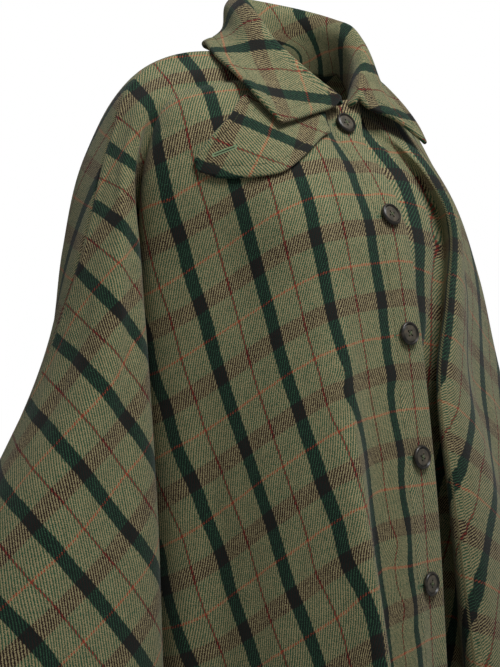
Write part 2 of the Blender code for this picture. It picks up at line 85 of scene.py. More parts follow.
def sight_line(x, y):
    """The direction in which the camera sees a pixel of the picture."""
    aside = (x - PICTURE_WIDTH / 2) / FOCAL_PIXELS
    rise = (PICTURE_HEIGHT / 2 - y) / FOCAL_PIXELS
    return (TO_RIGHT * aside + UP * rise - TO_CAMERA).normalized()


print("camera at", [round(v, 3) for v in camera.location], "lens", round(camera.data.lens, 1), "mm")

# %% [markdown]
# The cape's form. The same named sections that shape the solids shape the cloth here, so that the two agree:
# each row is one ring round the cape, from the neck to the hem, and smooth curves run through the points.
# A finer grid on the same curves gives a smooth cloth, which the solids need not have.

# %% Sections of the cape
CLOTH = 0.0025            # thickness of the wool
FRONT_LAP = 0.022         # how far each front passes the centre line
LAP_STEP = 0.0076         # how far the left front lies under the right one
LAP_FADE = 0.075          # distance from the centre at which that step has faded out
LIFT = 1.4                # how late a ring climbs from the front drop to the shoulder drop
FLANK_ROUND = 0.010       # how far the flank of each front bulges
LEFT_ARM_FORWARD = 0.014  # the left arm is held a little further forward
FOLD_PITCH = 0.006        # spacing of a fold's points where the fold is still closed
FOLD_PLACES = (-1.2, -0.4, 0.4, 1.2)   # those points, counted in that spacing
FOLD_OPEN = 0.036         # the depth from which the arm fold is wholly open
FOLD_UNDERCUT = 0.016     # how far the bottom of the open fold reaches back under the front
FOLD_LIP = 0.009          # how far its outer edge lies further out
LAP_BACK = 0.10           # how much a free edge falls back, as a share of the lap
NEAR_SHARE = 0.74         # from the right front's ridge towards the buttons: a point on the plain cloth
HOLLOW_SHARE = 0.40       # and the hollow beside the ridge,
HOLLOW_DRAW = 0.24        # which a deep pleat draws nearer
PLEAT_DEEP = 0.010        # the depth from which a pleat counts as deep
VALLEY_OPEN = 0.034       # the depth from which the left front's valley is wholly open
VALLEY_SLOPE = 0.001      # how much deeper the valley is on its outer side
FLAT_ROLL = 0.007         # width of the left ridge's roll where the valley is still closed
PAST_RIDGE = 0.12         # where that roll ends, as a share of the way to the side
ARM_DROP = 0.2            # from this drop on the left arm is wholly forward
BLADE_CLIMB = 0.35        # how far the shoulder blade and the back of the arm have dropped
WING_CLIMB = 0.85         # between the centre back and the seam
FLARE_GROWTH = 1.3        # how late a flare deepens towards the hem

FrontRow = namedtuple(
    "FrontRow", "name cf_reach cf_drop wing_x wing_reach outer_x outer_reach seam_x seam_reach seam_drop")
FRONT = [
    FrontRow("neck", 0.086, -0.068, 0.064, 0.036, 0.069, 0.024, 0.071, 0.012, -0.005),
    FrontRow("yoke", 0.103, -0.101, 0.130, 0.034, 0.137, 0.019, 0.140, 0.002, -0.017),
    FrontRow("shoulder", 0.139, -0.147, 0.191, 0.030, 0.195, 0.016, 0.197, 0.000, -0.056),
    FrontRow("upper_arm", 0.160, -0.188, 0.216, 0.034, 0.221, 0.020, 0.223, 0.005, -0.116),
    FrontRow("bust", 0.177, -0.268, 0.238, 0.050, 0.250, 0.032, 0.254, 0.012, -0.215),
    FrontRow("elbow", 0.187, -0.335, 0.256, 0.060, 0.275, 0.030, 0.277, -0.006, -0.308),
    FrontRow("hip", 0.203, -0.460, 0.296, 0.070, 0.339, 0.018, 0.329, -0.046, -0.450),
    FrontRow("thigh", 0.214, -0.600, 0.334, 0.084, 0.404, 0.012, 0.388, -0.074, -0.600),
    FrontRow("hem", 0.226, -0.785, 0.380, 0.104, 0.474, 0.008, 0.456, -0.106, -0.785),
]

# pleat is the hollow between the ridge and the buttons, depth how far the arm fold runs in,
# lap how far its outer edge comes forward.
FoldRow = namedtuple("FoldRow", "apex_x apex_reach pleat crease_x crease_reach depth lap")
FOLDS_RIGHT = [
    FoldRow(0.030, 0.075, 0.000, 0.054, 0.052, 0.000, 0.000),
    FoldRow(0.058, 0.091, 0.000, 0.116, 0.052, 0.000, 0.000),
    FoldRow(0.078, 0.122, 0.000, 0.184, 0.040, 0.004, 0.004),
    FoldRow(0.082, 0.147, 0.000, 0.204, 0.034, 0.014, 0.009),
    FoldRow(0.080, 0.164, 0.000, 0.201, 0.026, 0.036, 0.016),
    FoldRow(0.079, 0.180, 0.003, 0.198, 0.030, 0.056, 0.019),
    FoldRow(0.078, 0.210, 0.010, 0.194, 0.038, 0.076, 0.021),
    FoldRow(0.077, 0.239, 0.016, 0.195, 0.048, 0.092, 0.022),
    FoldRow(0.077, 0.268, 0.020, 0.197, 0.060, 0.104, 0.022),
]
# The left front leaves the lap at turn, dips at start into a valley and comes back at ridge, a rolled edge
# from which the cloth hangs on over the arm by way of side.
LeftRow = namedtuple("LeftRow", "turn_x turn_reach start_x start_reach valley_x valley_reach valley_width "
                                "ridge_x ridge_reach side_x side_reach draw")
FOLDS_LEFT = [
    LeftRow(0.016, 0.083, 0.026, 0.078, 0.030, 0.075, 0.003, 0.042, 0.066, 0.056, 0.047, 0.000),
    LeftRow(0.030, 0.099, 0.042, 0.094, 0.047, 0.090, 0.006, 0.060, 0.090, 0.101, 0.062, 0.003),
    LeftRow(0.040, 0.133, 0.066, 0.121, 0.074, 0.113, 0.012, 0.083, 0.124, 0.133, 0.080, 0.011),
    LeftRow(0.044, 0.153, 0.076, 0.138, 0.085, 0.128, 0.018, 0.096, 0.145, 0.148, 0.098, 0.003),
    LeftRow(0.030, 0.173, 0.056, 0.162, 0.062, 0.151, 0.021, 0.070, 0.169, 0.150, 0.126, 0.000),
    LeftRow(0.018, 0.184, 0.032, 0.176, 0.036, 0.160, 0.030, 0.042, 0.184, 0.140, 0.140, 0.000),
    LeftRow(0.016, 0.200, 0.030, 0.187, 0.034, 0.160, 0.048, 0.047, 0.199, 0.160, 0.165, 0.000),
    LeftRow(0.016, 0.211, 0.031, 0.197, 0.037, 0.152, 0.066, 0.067, 0.204, 0.185, 0.172, 0.000),
    LeftRow(0.016, 0.223, 0.033, 0.208, 0.042, 0.150, 0.090, 0.092, 0.214, 0.220, 0.190, 0.000),
]
LEFT_ROLL = np.array([0.009, 0.004])   # from the ridge to the point where its roll has turned

BackRow = namedtuple("BackRow", "cb_reach cb_drop blade_x blade_reach backwing_x backwing_reach")
BACK = [
    BackRow(-0.050, 0.016, 0.042, -0.038, 0.066, -0.012),
    BackRow(-0.090, -0.010, 0.085, -0.076, 0.132, -0.034),
    BackRow(-0.116, -0.056, 0.125, -0.102, 0.188, -0.038),
    BackRow(-0.132, -0.114, 0.145, -0.120, 0.219, -0.042),
    BackRow(-0.142, -0.205, 0.150, -0.132, 0.245, -0.044),
    BackRow(-0.148, -0.298, 0.150, -0.142, 0.252, -0.060),
    BackRow(-0.158, -0.440, 0.155, -0.160, 0.284, -0.098),
    BackRow(-0.170, -0.590, 0.165, -0.182, 0.338, -0.134),
    BackRow(-0.190, -0.785, 0.180, -0.210, 0.394, -0.176),
]

# Soft flares of the back and the wings: place is the share of the whole ring from the right front
# edge to the left one, start the share of the drop where the flare begins.
Flare = namedtuple("Flare", "place width start depth")
FLARES = [
    Flare(0.315, 0.030, 0.40, 0.016),
    Flare(0.360, 0.026, 0.45, -0.014),
    Flare(0.405, 0.028, 0.30, 0.022),
    Flare(0.450, 0.026, 0.35, -0.020),
    Flare(0.495, 0.028, 0.28, 0.024),
    Flare(0.545, 0.026, 0.35, -0.022),
    Flare(0.592, 0.028, 0.32, 0.022),
    Flare(0.640, 0.026, 0.45, -0.014),
    Flare(0.684, 0.030, 0.40, 0.015),
]
print("sections:", len(FRONT), "rings,", len(FLARES), "flares")

# %% Curves through the sections


def hermite(a, b, leave_a, reach_b, u):
    """The cubic from a to b with the given end tangents, at u from 0 to 1."""
    return ((2 * u**3 - 3 * u**2 + 1) * a + (u**3 - 2 * u**2 + u) * leave_a
            + (3 * u**2 - 2 * u**3) * b + (u**3 - u**2) * reach_b)


def spline(points, steps):
    """A smooth curve through the points: chord-length tangents, with the given divisions per span."""
    points = np.asarray(points, float)
    chords = np.maximum(np.linalg.norm(np.diff(points, axis=0), axis=1), 1e-6)
    slopes = np.diff(points, axis=0) / chords[:, None]
    tangents = np.empty_like(points)
    tangents[1:-1] = ((slopes[:-1] * chords[1:, None] + slopes[1:] * chords[:-1, None])
                      / (chords[:-1] + chords[1:])[:, None])
    tangents[0] = 1.5 * slopes[0] - 0.5 * tangents[1]
    tangents[-1] = 1.5 * slopes[-1] - 0.5 * tangents[-2]
    curve = []
    for k, count in enumerate(steps):
        u = (np.arange(count) / count)[:, None]
        leave, reach = tangents[k] * chords[k], tangents[k + 1] * chords[k]
        curve.append(hermite(points[k], points[k + 1], leave, reach, u))
    return np.concatenate(curve + [points[-1:]])


def unit(v):
    return v / max(np.linalg.norm(v), 1e-9)


def runs_along(line):
    """The distance of each point from the start of a line of points."""
    return np.concatenate([[0], np.cumsum(np.linalg.norm(np.diff(line, axis=0), axis=1))])


def runs_over(grid, axis):
    """The distance of each point of a grid from the start of its column, for axis 0, or of its row."""
    steps = np.linalg.norm(np.diff(grid, axis=axis), axis=2)
    return np.concatenate([np.zeros_like(steps.take([0], axis)), np.cumsum(steps, axis=axis)], axis)


def read_off(marks, runs, values):
    """Vectors that are known at some runs, read off at the marks between them."""
    return np.stack([np.interp(marks, runs, values[:, k]) for k in range(3)], -1)


def at_run(line, run):
    """The point of a line at a distance from its start."""
    return read_off(run, runs_along(line), line)


def along(line, share):
    """The point at a share of a line's length."""
    return at_run(line, share * runs_along(line)[-1])


def bump(x):
    """A soft ridge, 1 in the middle and 0 from a distance of 1 outwards."""
    return np.where(np.abs(x) < 1, 0.5 + 0.5 * np.cos(np.pi * np.clip(x, -1, 1)), 0.0)


def face_normals(surface):
    """Outward unit normals of a grid of points that runs from the right front round the back."""
    normals = np.cross(np.gradient(surface, axis=1), np.gradient(surface, axis=0))
    return normals / np.maximum(np.linalg.norm(normals, axis=2, keepdims=True), 1e-12)


# %% Rings of the cape


def shares_along(base):
    """How far along a front's base line each of its named points lies, from 0 to 1."""
    runs = runs_along(np.array(list(base.values())))
    return dict(zip(base, runs / runs[-1]))


def with_drops(row, climb, side):
    """Points of a front with their drops, which climb late from the front drop to the shoulder drop.
    side is -1 for the wearer's right and 1 for the left."""
    ring = []
    for share, (x, reach) in climb:
        z = row.cf_drop + (row.seam_drop - row.cf_drop) * share ** LIFT
        ring.append((side * x, -reach, z))
    return ring


def right_ring(row, fold):
    """The named points of the right front at one section, from its free edge to the shoulder seam."""
    cf = np.array([0.0, row.cf_reach])
    apex = np.array([fold.apex_x, fold.apex_reach])
    crease = np.array([fold.crease_x, fold.crease_reach])
    wing = np.array([row.wing_x, row.wing_reach])
    outer_edge = np.array([row.outer_x, row.outer_reach])
    seam = np.array([row.seam_x, row.seam_reach])
    onward = unit(crease - apex)
    outward = np.array([-onward[1], onward[0]])
    outward *= np.sign(outward @ crease) or 1.0
    flank = (apex + crease) / 2 + outward * min(FLANK_ROUND, 0.1 * np.linalg.norm(crease - apex))
    near = apex + (cf - apex) * NEAR_SHARE
    steep = min(1.0, fold.pleat / PLEAT_DEEP)
    hollow = apex + (cf - apex) * (HOLLOW_SHARE - HOLLOW_DRAW * steep) - np.array([0.0, fold.pleat])
    edge = np.array([-FRONT_LAP, cf[1] - LAP_BACK * FRONT_LAP])

    # The arm fold: a closed row of points that opens into a hollow and an edge that comes forward.
    opened = min(1.0, fold.depth / FOLD_OPEN)
    onward = unit(wing - crease)
    closed = [crease + onward * FOLD_PITCH * k for k in FOLD_PLACES]
    open_fold = [crease,
                 np.array([fold.crease_x - FOLD_UNDERCUT, fold.crease_reach - fold.depth]),
                 np.array([fold.crease_x, fold.crease_reach - fold.depth]),
                 crease + np.array([FOLD_LIP, fold.lap])]
    start, inner, outer, ridge = [c + (o - c) * opened for c, o in zip(closed, open_fold)]
    base = {"cf": cf, "near": near, "apex": apex, "flank": flank, "crease": crease,
            "wing": wing, "outer": outer_edge, "seam": seam}
    share = shares_along(base)
    climb = [("cf", edge), ("cf", cf), ("near", near), ("apex", hollow), ("apex", apex),
             ("flank", flank), ("crease", start), ("crease", inner), ("crease", outer),
             ("crease", ridge), ("wing", wing), ("outer", outer_edge), ("seam", seam)]
    return with_drops(row, [(share[name], point) for name, point in climb], -1)


def left_ring(row, fold):
    """The named points of the left front at one section, from its free edge to the shoulder seam."""
    cf = np.array([0.0, row.cf_reach])
    edge = np.array([-FRONT_LAP, cf[1] - LAP_BACK * FRONT_LAP])
    turn = np.array([fold.turn_x, fold.turn_reach])
    start = np.array([fold.start_x, fold.start_reach])
    inner = np.array([fold.valley_x, fold.valley_reach])
    outer = inner + np.array([fold.valley_width, -VALLEY_SLOPE])
    ridge = np.array([fold.ridge_x, fold.ridge_reach])
    side = np.array([fold.side_x, fold.side_reach])
    opened = np.clip((fold.ridge_reach - fold.valley_reach) / VALLEY_OPEN, 0, 1)
    rolled = ridge + LEFT_ROLL * opened + unit(side - ridge) * FLAT_ROLL * (1 - opened)
    forward = LEFT_ARM_FORWARD * min(1.0, -row.seam_drop / ARM_DROP)
    wing = np.array([row.wing_x - fold.draw, row.wing_reach + forward - fold.draw])
    outer_edge = np.array([row.outer_x - fold.draw / 2, row.outer_reach + forward - fold.draw / 2])
    seam = np.array([row.seam_x, row.seam_reach])
    base = {"cf": cf, "turn": turn, "start": start, "ridge": ridge, "side": side,
            "wing": wing, "outer": outer_edge, "seam": seam}
    share = shares_along(base)
    third = (share["ridge"] - share["start"]) / 3
    past_ridge = share["ridge"] + (share["side"] - share["ridge"]) * PAST_RIDGE
    climb = [(0, edge), (0, cf), (share["turn"] / 2, (cf + turn) / 2), (share["turn"], turn),
             (share["start"], start), (share["start"] + third, inner), (share["start"] + 2 * third, outer),
             (share["ridge"], ridge), (past_ridge, rolled), (share["side"], side),
             (share["wing"], wing), (share["outer"], outer_edge), (1, seam)]
    return with_drops(row, climb, 1)


def back_ring(row, back):
    """The named points of the back at one section, between the two shoulder seams."""
    blade_z = back.cb_drop + (row.seam_drop - back.cb_drop) * BLADE_CLIMB
    wing_z = back.cb_drop + (row.seam_drop - back.cb_drop) * WING_CLIMB
    blades = [(side * back.blade_x, -back.blade_reach, blade_z) for side in (-1, 1)]
    wings = [(side * back.backwing_x, -back.backwing_reach, wing_z) for side in (-1, 1)]
    centre = (0.0, -back.cb_reach, back.cb_drop)
    return [wings[0], blades[0], centre, blades[1], wings[1]]


def named_rings():
    """The named points of the whole cape: section by section, from the right front edge round the back."""
    rings = []
    for row, right, left, back in zip(FRONT, FOLDS_RIGHT, FOLDS_LEFT, BACK):
        rings.append(right_ring(row, right) + back_ring(row, back) + left_ring(row, left)[::-1])
    return np.array(rings)


def drop_shares(rings):
    """How far down the cape each section lies, from 0 at the neck to 1 at the hem."""
    steps = np.linalg.norm(np.diff(rings, axis=0), axis=2).mean(axis=1)
    runs = np.concatenate([[0], np.cumsum(steps)])
    return runs / runs[-1]


def at_drop(rings, shares, t):
    """The named points at any share of the drop, on smooth curves down the sections."""
    last = len(shares) - 1
    k = int(np.clip(np.searchsorted(shares, t, side="right") - 1, 0, last - 1))
    span = shares[k + 1] - shares[k]

    def slope(j):
        if j in (0, last):
            a, b = (0, 1) if j == 0 else (last - 1, last)
            return (rings[b] - rings[a]) / (shares[b] - shares[a])
        before, after = shares[j] - shares[j - 1], shares[j + 1] - shares[j]
        return (((rings[j] - rings[j - 1]) / before) * after
                + ((rings[j + 1] - rings[j]) / after) * before) / (before + after)

    return hermite(rings[k], rings[k + 1], slope(k) * span, slope(k + 1) * span, (t - shares[k]) / span)


def tuck_left(surface, front_steps):
    """Lays the left front under the right one: near the centre line it is moved in by the lap step."""
    first = surface.shape[1] - 1 - sum(front_steps)
    centre = surface.shape[1] - 1 - front_steps[0]
    runs = runs_over(surface[:, first:], 1)
    apart = np.maximum(runs[:, centre - first, None] - runs, 0.0)
    fade = np.clip(1 - (apart / LAP_FADE) ** 2, 0, 1)
    tucked = surface.copy()
    tucked[:, first:] -= LAP_STEP * fade[..., None] * face_normals(surface)[:, first:]
    return tucked


def cape_surface(drops, front_steps, back_steps):
    """The cape's outer face as rows of points, one ring for each drop, with the flares added."""
    rings = named_rings()
    shares = drop_shares(rings)
    joints = front_steps + back_steps + front_steps[::-1]
    surface = np.array([spline(at_drop(rings, shares, t), joints) for t in drops])
    normals = face_normals(surface)
    columns = np.linspace(0, 1, surface.shape[1])
    for flare in FLARES:
        across = bump((columns - flare.place) / flare.width)
        down = np.clip((np.array(drops) - flare.start) / (1 - flare.start), 0, 1) ** FLARE_GROWTH
        surface = surface + flare.depth * (down[:, None] * across[None, :])[..., None] * normals
    return tuck_left(surface, front_steps)


COLUMN_FINENESS = 4
ROW_FINENESS = 5
PATTERN_ROWS = 40
FRONT_STEPS = [2, 2, 3, 3, 4, 4, 3, 2, 3, 4, 3, 2]
BACK_STEPS = [3, 6, 7, 7, 6, 3]
FINE_FRONT = [s * COLUMN_FINENESS for s in FRONT_STEPS]
FINE_BACK = [s * COLUMN_FINENESS for s in BACK_STEPS]
DROPS = np.linspace(0, 1, PATTERN_ROWS * ROW_FINENESS + 1)

form = cape_surface(DROPS, FINE_FRONT, FINE_BACK)
RIGHT_SEAM = sum(FINE_FRONT)
LEFT_SEAM = form.shape[1] - 1 - RIGHT_SEAM
CENTRE_FRONT = FINE_FRONT[0]
print("cape surface:", form.shape[0], "rows of", form.shape[1], "points")

# %% [markdown]
# How the plaid is laid. Wool cloth shears and bends but hardly stretches, so each panel's pattern piece is
# its surface laid flat with as little stretch as possible. Triangle by triangle the flat copy is only turned,
# then all triangles are fitted together, over and over. The centre front is held on a straight thread, and
# the stripes are held where the picture shows them.

# %% Laying cloth flat


def grid_triangles(rows, columns):
    """Two triangles for each cell of a grid of points."""
    a = (np.arange(rows - 1)[:, None] * columns + np.arange(columns - 1)[None, :]).ravel()
    upper = np.stack([a, a + 1, a + columns + 1], 1)
    lower = np.stack([a, a + columns + 1, a + columns], 1)
    return np.concatenate([upper, lower])


def lay_flat(surface, start, holds, ease, rounds=80):
    """Flat coordinates of a grid of points. start is a first guess, holds lists (axis, points, shares, value,
    weight), and ease is how stiff each point's cloth is, low where length is hidden."""
    rows, columns = surface.shape[:2]
    points = surface.reshape(-1, 3)
    triangles = grid_triangles(rows, columns)
    corner = points[triangles]
    e1, e2 = corner[:, 1] - corner[:, 0], corner[:, 2] - corner[:, 0]
    length = np.linalg.norm(e1, axis=1)
    first = e1 / length[:, None]
    local = np.zeros((len(triangles), 3, 2))
    local[:, 1, 0] = length
    local[:, 2, 0] = (e2 * first).sum(1)
    local[:, 2, 1] = np.linalg.norm(e2 - first * local[:, 2, :1], axis=1)
    stiff = ease.reshape(-1)[triangles].min(axis=1)
    edges, sides, weights = [], [], []
    for k in range(3):
        i, j, o = k, (k + 1) % 3, (k + 2) % 3
        p, q = local[:, i] - local[:, o], local[:, j] - local[:, o]
        cross = np.abs(p[:, 0] * q[:, 1] - p[:, 1] * q[:, 0])
        cot = np.clip((p * q).sum(1) / np.maximum(cross, 1e-12), 0.05, 6.0)
        edges.append((triangles[:, i], triangles[:, j]))
        sides.append(local[:, i] - local[:, j])
        weights.append(cot * stiff)
    count = len(points)
    spread = np.zeros((count, count))
    for (i, j), w in zip(edges, weights):
        np.add.at(spread, (i, i), w)
        np.add.at(spread, (j, j), w)
        np.add.at(spread, (i, j), -w)
        np.add.at(spread, (j, i), -w)
    solvers, pulls = [], []
    for axis in (0, 1):
        held, pull = spread.copy(), np.zeros(count)
        for of_axis, index, share, value, weight in holds:
            if of_axis == axis:
                held[np.ix_(index, index)] += weight * np.outer(share, share)
                pull[index] += weight * np.asarray(share) * value
        solvers.append(np.linalg.inv(held))
        pulls.append(pull)
    flat = start.reshape(-1, 2).copy()
    for _ in range(rounds):
        turn = np.zeros((len(triangles), 2, 2))
        for (i, j), side, w in zip(edges, sides, weights):
            turn += w[:, None, None] * (flat[i] - flat[j])[:, :, None] * side[:, None, :]
        angle = np.arctan2(turn[:, 1, 0] - turn[:, 0, 1], turn[:, 0, 0] + turn[:, 1, 1])
        cos, sin = np.cos(angle), np.sin(angle)
        wanted = np.zeros((count, 2))
        for (i, j), side, w in zip(edges, sides, weights):
            turned = np.stack([cos * side[:, 0] - sin * side[:, 1], sin * side[:, 0] + cos * side[:, 1]], 1)
            np.add.at(wanted, i, w[:, None] * turned)
            np.add.at(wanted, j, -w[:, None] * turned)
        flat = np.stack([solvers[axis] @ (wanted[:, axis] + pulls[axis]) for axis in (0, 1)], 1)
    return flat.reshape(rows, columns, 2)


def refine(grid, times, axis):
    """A grid of values made finer along one axis, on smooth curves through the old ones."""
    grid = np.moveaxis(grid, axis, 0)
    slope = np.gradient(grid, axis=0)
    fine = []
    for k in range(times):
        fine.append(hermite(grid[:-1], grid[1:], slope[:-1], slope[1:], k / times))
    fine = np.stack(fine, 1).reshape(-1, *grid.shape[1:])
    return np.moveaxis(np.concatenate([fine, grid[-1:]]), 0, axis)


# %% Where the stripes pass
PLAID_ACROSS = 0.067      # from one red warp line to the next
PLAID_ALONG = 0.0712      # from one brown weft band to the next
BROWN_AT_NECK = 0.0034    # from the neck edge down the centre front to the first brown band

# Each entry is a stripe's number and the pixels where it is seen. The number counts repeats: a warp line is
# red at a whole number and dark at a half, a weft line brown or orange.
TRACES = {
    ("front_right", "warp"): [
        (-0.5, [(351, 162), (365, 207), (371, 226), (384, 298), (395, 375), (404, 448), (410, 526),
                (416, 601), (423, 660)]),
        (-1.5, [(297, 170), (313, 232), (333, 320), (346, 400)]),
        (-2.5, [(273, 320), (300, 408), (319, 488), (337, 563), (368, 665)]),
        (-3.5, [(137, 88), (164, 170), (185, 239), (207, 320), (244, 444), (273, 521), (324, 665)]),
        (-4.5, [(150, 331), (170, 408), (197, 484), (224, 559), (257, 665)]),
        (-5.5, [(165, 548), (199, 667)]),
        (-4.5, [(112, 146), (132, 162)]),
        (-5.5, [(102, 205), (118, 222), (136, 246)]),
        (-6.5, [(81, 269), (96, 286), (115, 310), (139, 340)]),
        (-7.5, [(77, 354), (88, 370), (106, 393), (120, 415), (141, 441)]),
        (-8.5, [(50, 425), (66, 449), (88, 479), (104, 505), (125, 532), (149, 558)]),
        (-9.5, [(27, 510), (48, 537), (69, 566), (93, 593), (117, 627), (141, 657)]),
        (-10.5, [(24, 625), (45, 651)]),
    ],
    ("front_right", "weft"): [
        (-0.5, [(216, 177), (199, 186), (178, 198), (166, 208)]),
        (-1.5, [(335, 193), (312, 197), (300, 201), (275, 214), (252, 228), (220, 250), (195, 267),
                (170, 291)]),
        (-2.5, [(350, 266), (327, 271), (318, 275), (294, 285), (273, 299), (241, 319), (218, 334),
                (186, 356), (166, 372)]),
        (-3.5, [(384, 338), (362, 341), (342, 346), (314, 357), (293, 371), (262, 392), (239, 409),
                (211, 428), (185, 446)]),
        (-4.5, [(374, 417), (352, 423), (333, 432), (315, 443), (286, 465), (261, 482), (232, 504),
                (207, 524), (184, 541)]),
        (-5.5, [(380, 491), (355, 508), (333, 519), (313, 538), (292, 553), (258, 575), (237, 591),
                (213, 615), (189, 631)]),
        (-0.5, [(80, 308), (98, 287)]),
        (-1.5, [(37, 465), (64, 439), (85, 415), (109, 391), (130, 340)]),
        (-2.5, [(37, 581), (61, 556), (82, 532), (101, 505), (122, 476), (141, 455)]),
        (-3.5, [(64, 663), (82, 641), (106, 619), (130, 590), (150, 566)]),
        (-6.5, [(387, 569), (372, 585), (353, 596), (311, 634), (287, 648), (263, 663)]),
    ],
    ("front_left", "warp"): [
        (0.5, [(385, 148), (398, 168), (411, 190), (419, 225), (423, 250)]),
        (1.0, [(420, 169), (436, 204), (441, 250)]),
        (2.5, [(472, 407), (466, 440), (461, 471)]),
        (3.0, [(486, 431), (479, 468), (472, 503)]),
        (3.5, [(493, 490), (486, 535), (478, 572), (475, 600)]),
        (4.0, [(493, 618), (487, 655)]),
    ],
    ("collar", "warp"): [
        (2.5, [(215, 57), (235, 48), (258, 44), (276, 48), (290, 56)]),
        (3.0, [(231, 75), (249, 73), (271, 69), (300, 74)]),
        (3.5, [(248, 92), (275, 96), (300, 99), (328, 101)]),
        (-0.5, [(295, 18), (292, 46)]),
        (-1.5, [(341, 26), (338, 52)]),
        (-2.5, [(377, 60), (364, 70)]),
        (-3.5, [(377, 107), (398, 113), (411, 118)]),
    ],
    ("collar", "weft"): [
        (0.0, [(248, 18), (258, 46), (271, 85), (279, 106)]),
        (-0.5, [(224, 42), (229, 64), (233, 76), (242, 88)]),
        (0.5, [(303, 82), (307, 100), (310, 112)]),
    ],
    ("throat_tab", "warp"): [
        (0.5, [(239, 121), (265, 131), (288, 140), (307, 148)]),
        (1.0, [(211, 141), (224, 145), (261, 157), (279, 161)]),
        (1.5, [(198, 161), (214, 165)]),
    ],
    ("throat_tab", "weft"): [
        (0.0, [(234, 120)]),
        (1.0, [(303, 146)]),
        (0.5, [(269, 138), (253, 166)]),
    ],
}
HOLD_CENTRE = 1000.0
HOLD_TRACE = 4.0
# A dark stripe runs along the rolled ridge of the left front: a coarse column, its drops and its number.
RIDGE_COLUMN, RIDGE_DROPS, RIDGE_NUMBER = 13, (0.09, 0.43), 1.5


def seen_on(surface, x, y):
    """The three grid points around the place where the camera sees a pixel on a surface, and their shares."""
    rows, columns = surface.shape[:2]
    points = surface.reshape(-1, 3)
    triangles = grid_triangles(rows, columns)
    tree = BVHTree.FromPolygons(points.tolist(), triangles.tolist())
    place, _, index, _ = tree.ray_cast(camera.location, sight_line(x, y))
    if place is None:
        return None
    a, b, c = points[triangles[index]]
    basis = np.stack([b - a, c - a], 1)
    s, t = np.linalg.lstsq(basis, np.array(place) - a, rcond=None)[0]
    return triangles[index], [1 - s - t, s, t]


def first_guess(surface, centre):
    """Distance round the cape from a column, and down from the neck."""
    across = runs_over(surface, 1)
    return np.stack([across - across[:, centre:centre + 1], -runs_over(surface, 0)], 2)


def trace_holds(name, surface, brown_at):
    """The traces of a piece as holds on its flat copy. brown_at is where its first brown band lies."""
    holds = []
    threads = (("warp", PLAID_ACROSS, 0.0), ("weft", PLAID_ALONG, brown_at))
    for axis, (thread, repeat, start) in enumerate(threads):
        for number, places in TRACES.get((name, thread), []):
            for x, y in places:
                found = seen_on(surface, x, y)
                if found:
                    holds.append((axis, np.array(found[0]), found[1], number * repeat - start, HOLD_TRACE))
    return holds


def cut_panel(name, surface, centre, ease):
    """The flat pattern of a panel in metres: across from the centre thread, and along it from the neck down.
    surface is the coarse grid, centre the column on the straight thread."""
    start = first_guess(surface, centre) * (-1, 1)
    rows, columns = surface.shape[:2]
    holds = trace_holds(name, surface, BROWN_AT_NECK)
    drops = DROPS[::ROW_FINENESS]
    if name == "front_left":
        for r in np.flatnonzero((drops > RIDGE_DROPS[0]) & (drops < RIDGE_DROPS[1])):
            index = np.array([r * columns + RIDGE_COLUMN])
            holds.append((0, index, [1.0], RIDGE_NUMBER * PLAID_ACROSS, HOLD_TRACE))
    for r in range(rows):
        index = np.array([r * columns + centre])
        holds.append((0, index, [1.0], 0.0, HOLD_CENTRE))
        holds.append((1, index, [1.0], start[r, centre, 1], HOLD_CENTRE))
    return lay_flat(surface, start, holds, ease)


# Where cloth is hidden in a fold its flat copy may give: columns of the coarse grid, the drop below which
# that holds, and the stiffness left.
Give = namedtuple("Give", "first last below stiffness")
RIGHT_GIVES = [Give(5, 9, 0.42, 0.03), Give(19, 25, 0.20, 0.06)]
LEFT_GIVES = [Give(15, 25, 0.08, 0.25), Give(15, 25, 0.40, 0.06)]


def stiffness(surface, gives):
    """How stiff the cloth of each grid point is when it is laid flat."""
    stiff = np.ones(surface.shape[:2])
    for give in gives:
        below = DROPS[::ROW_FINENESS] > give.below
        stiff[np.ix_(below, np.arange(give.first, give.last + 1))] = give.stiffness
    return stiff


coarse = form[::ROW_FINENESS, ::COLUMN_FINENESS]
RIGHT_COARSE = RIGHT_SEAM // COLUMN_FINENESS
LEFT_COARSE = LEFT_SEAM // COLUMN_FINENESS
CENTRE_COARSE = FRONT_STEPS[0]
right = coarse[:, :RIGHT_COARSE + 1]
back = coarse[:, RIGHT_COARSE:LEFT_COARSE + 1]
left = coarse[:, LEFT_COARSE:]
left_centre = left.shape[1] - 1 - CENTRE_COARSE
panels = {
    "front_right": cut_panel("front_right", right, CENTRE_COARSE, stiffness(right, RIGHT_GIVES)),
    "front_left": cut_panel("front_left", left, left_centre, stiffness(left, LEFT_GIVES)),
    "back": cut_panel("back", back, back.shape[1] // 2, stiffness(back, [])),
}
flats = {}
for name, flat in panels.items():
    flats[name] = refine(refine(flat, COLUMN_FINENESS, 1), ROW_FINENESS, 0) + (0, BROWN_AT_NECK)
    print(name, "flat size", [round(v, 3) for v in np.ptp(flats[name].reshape(-1, 2), axis=0)])
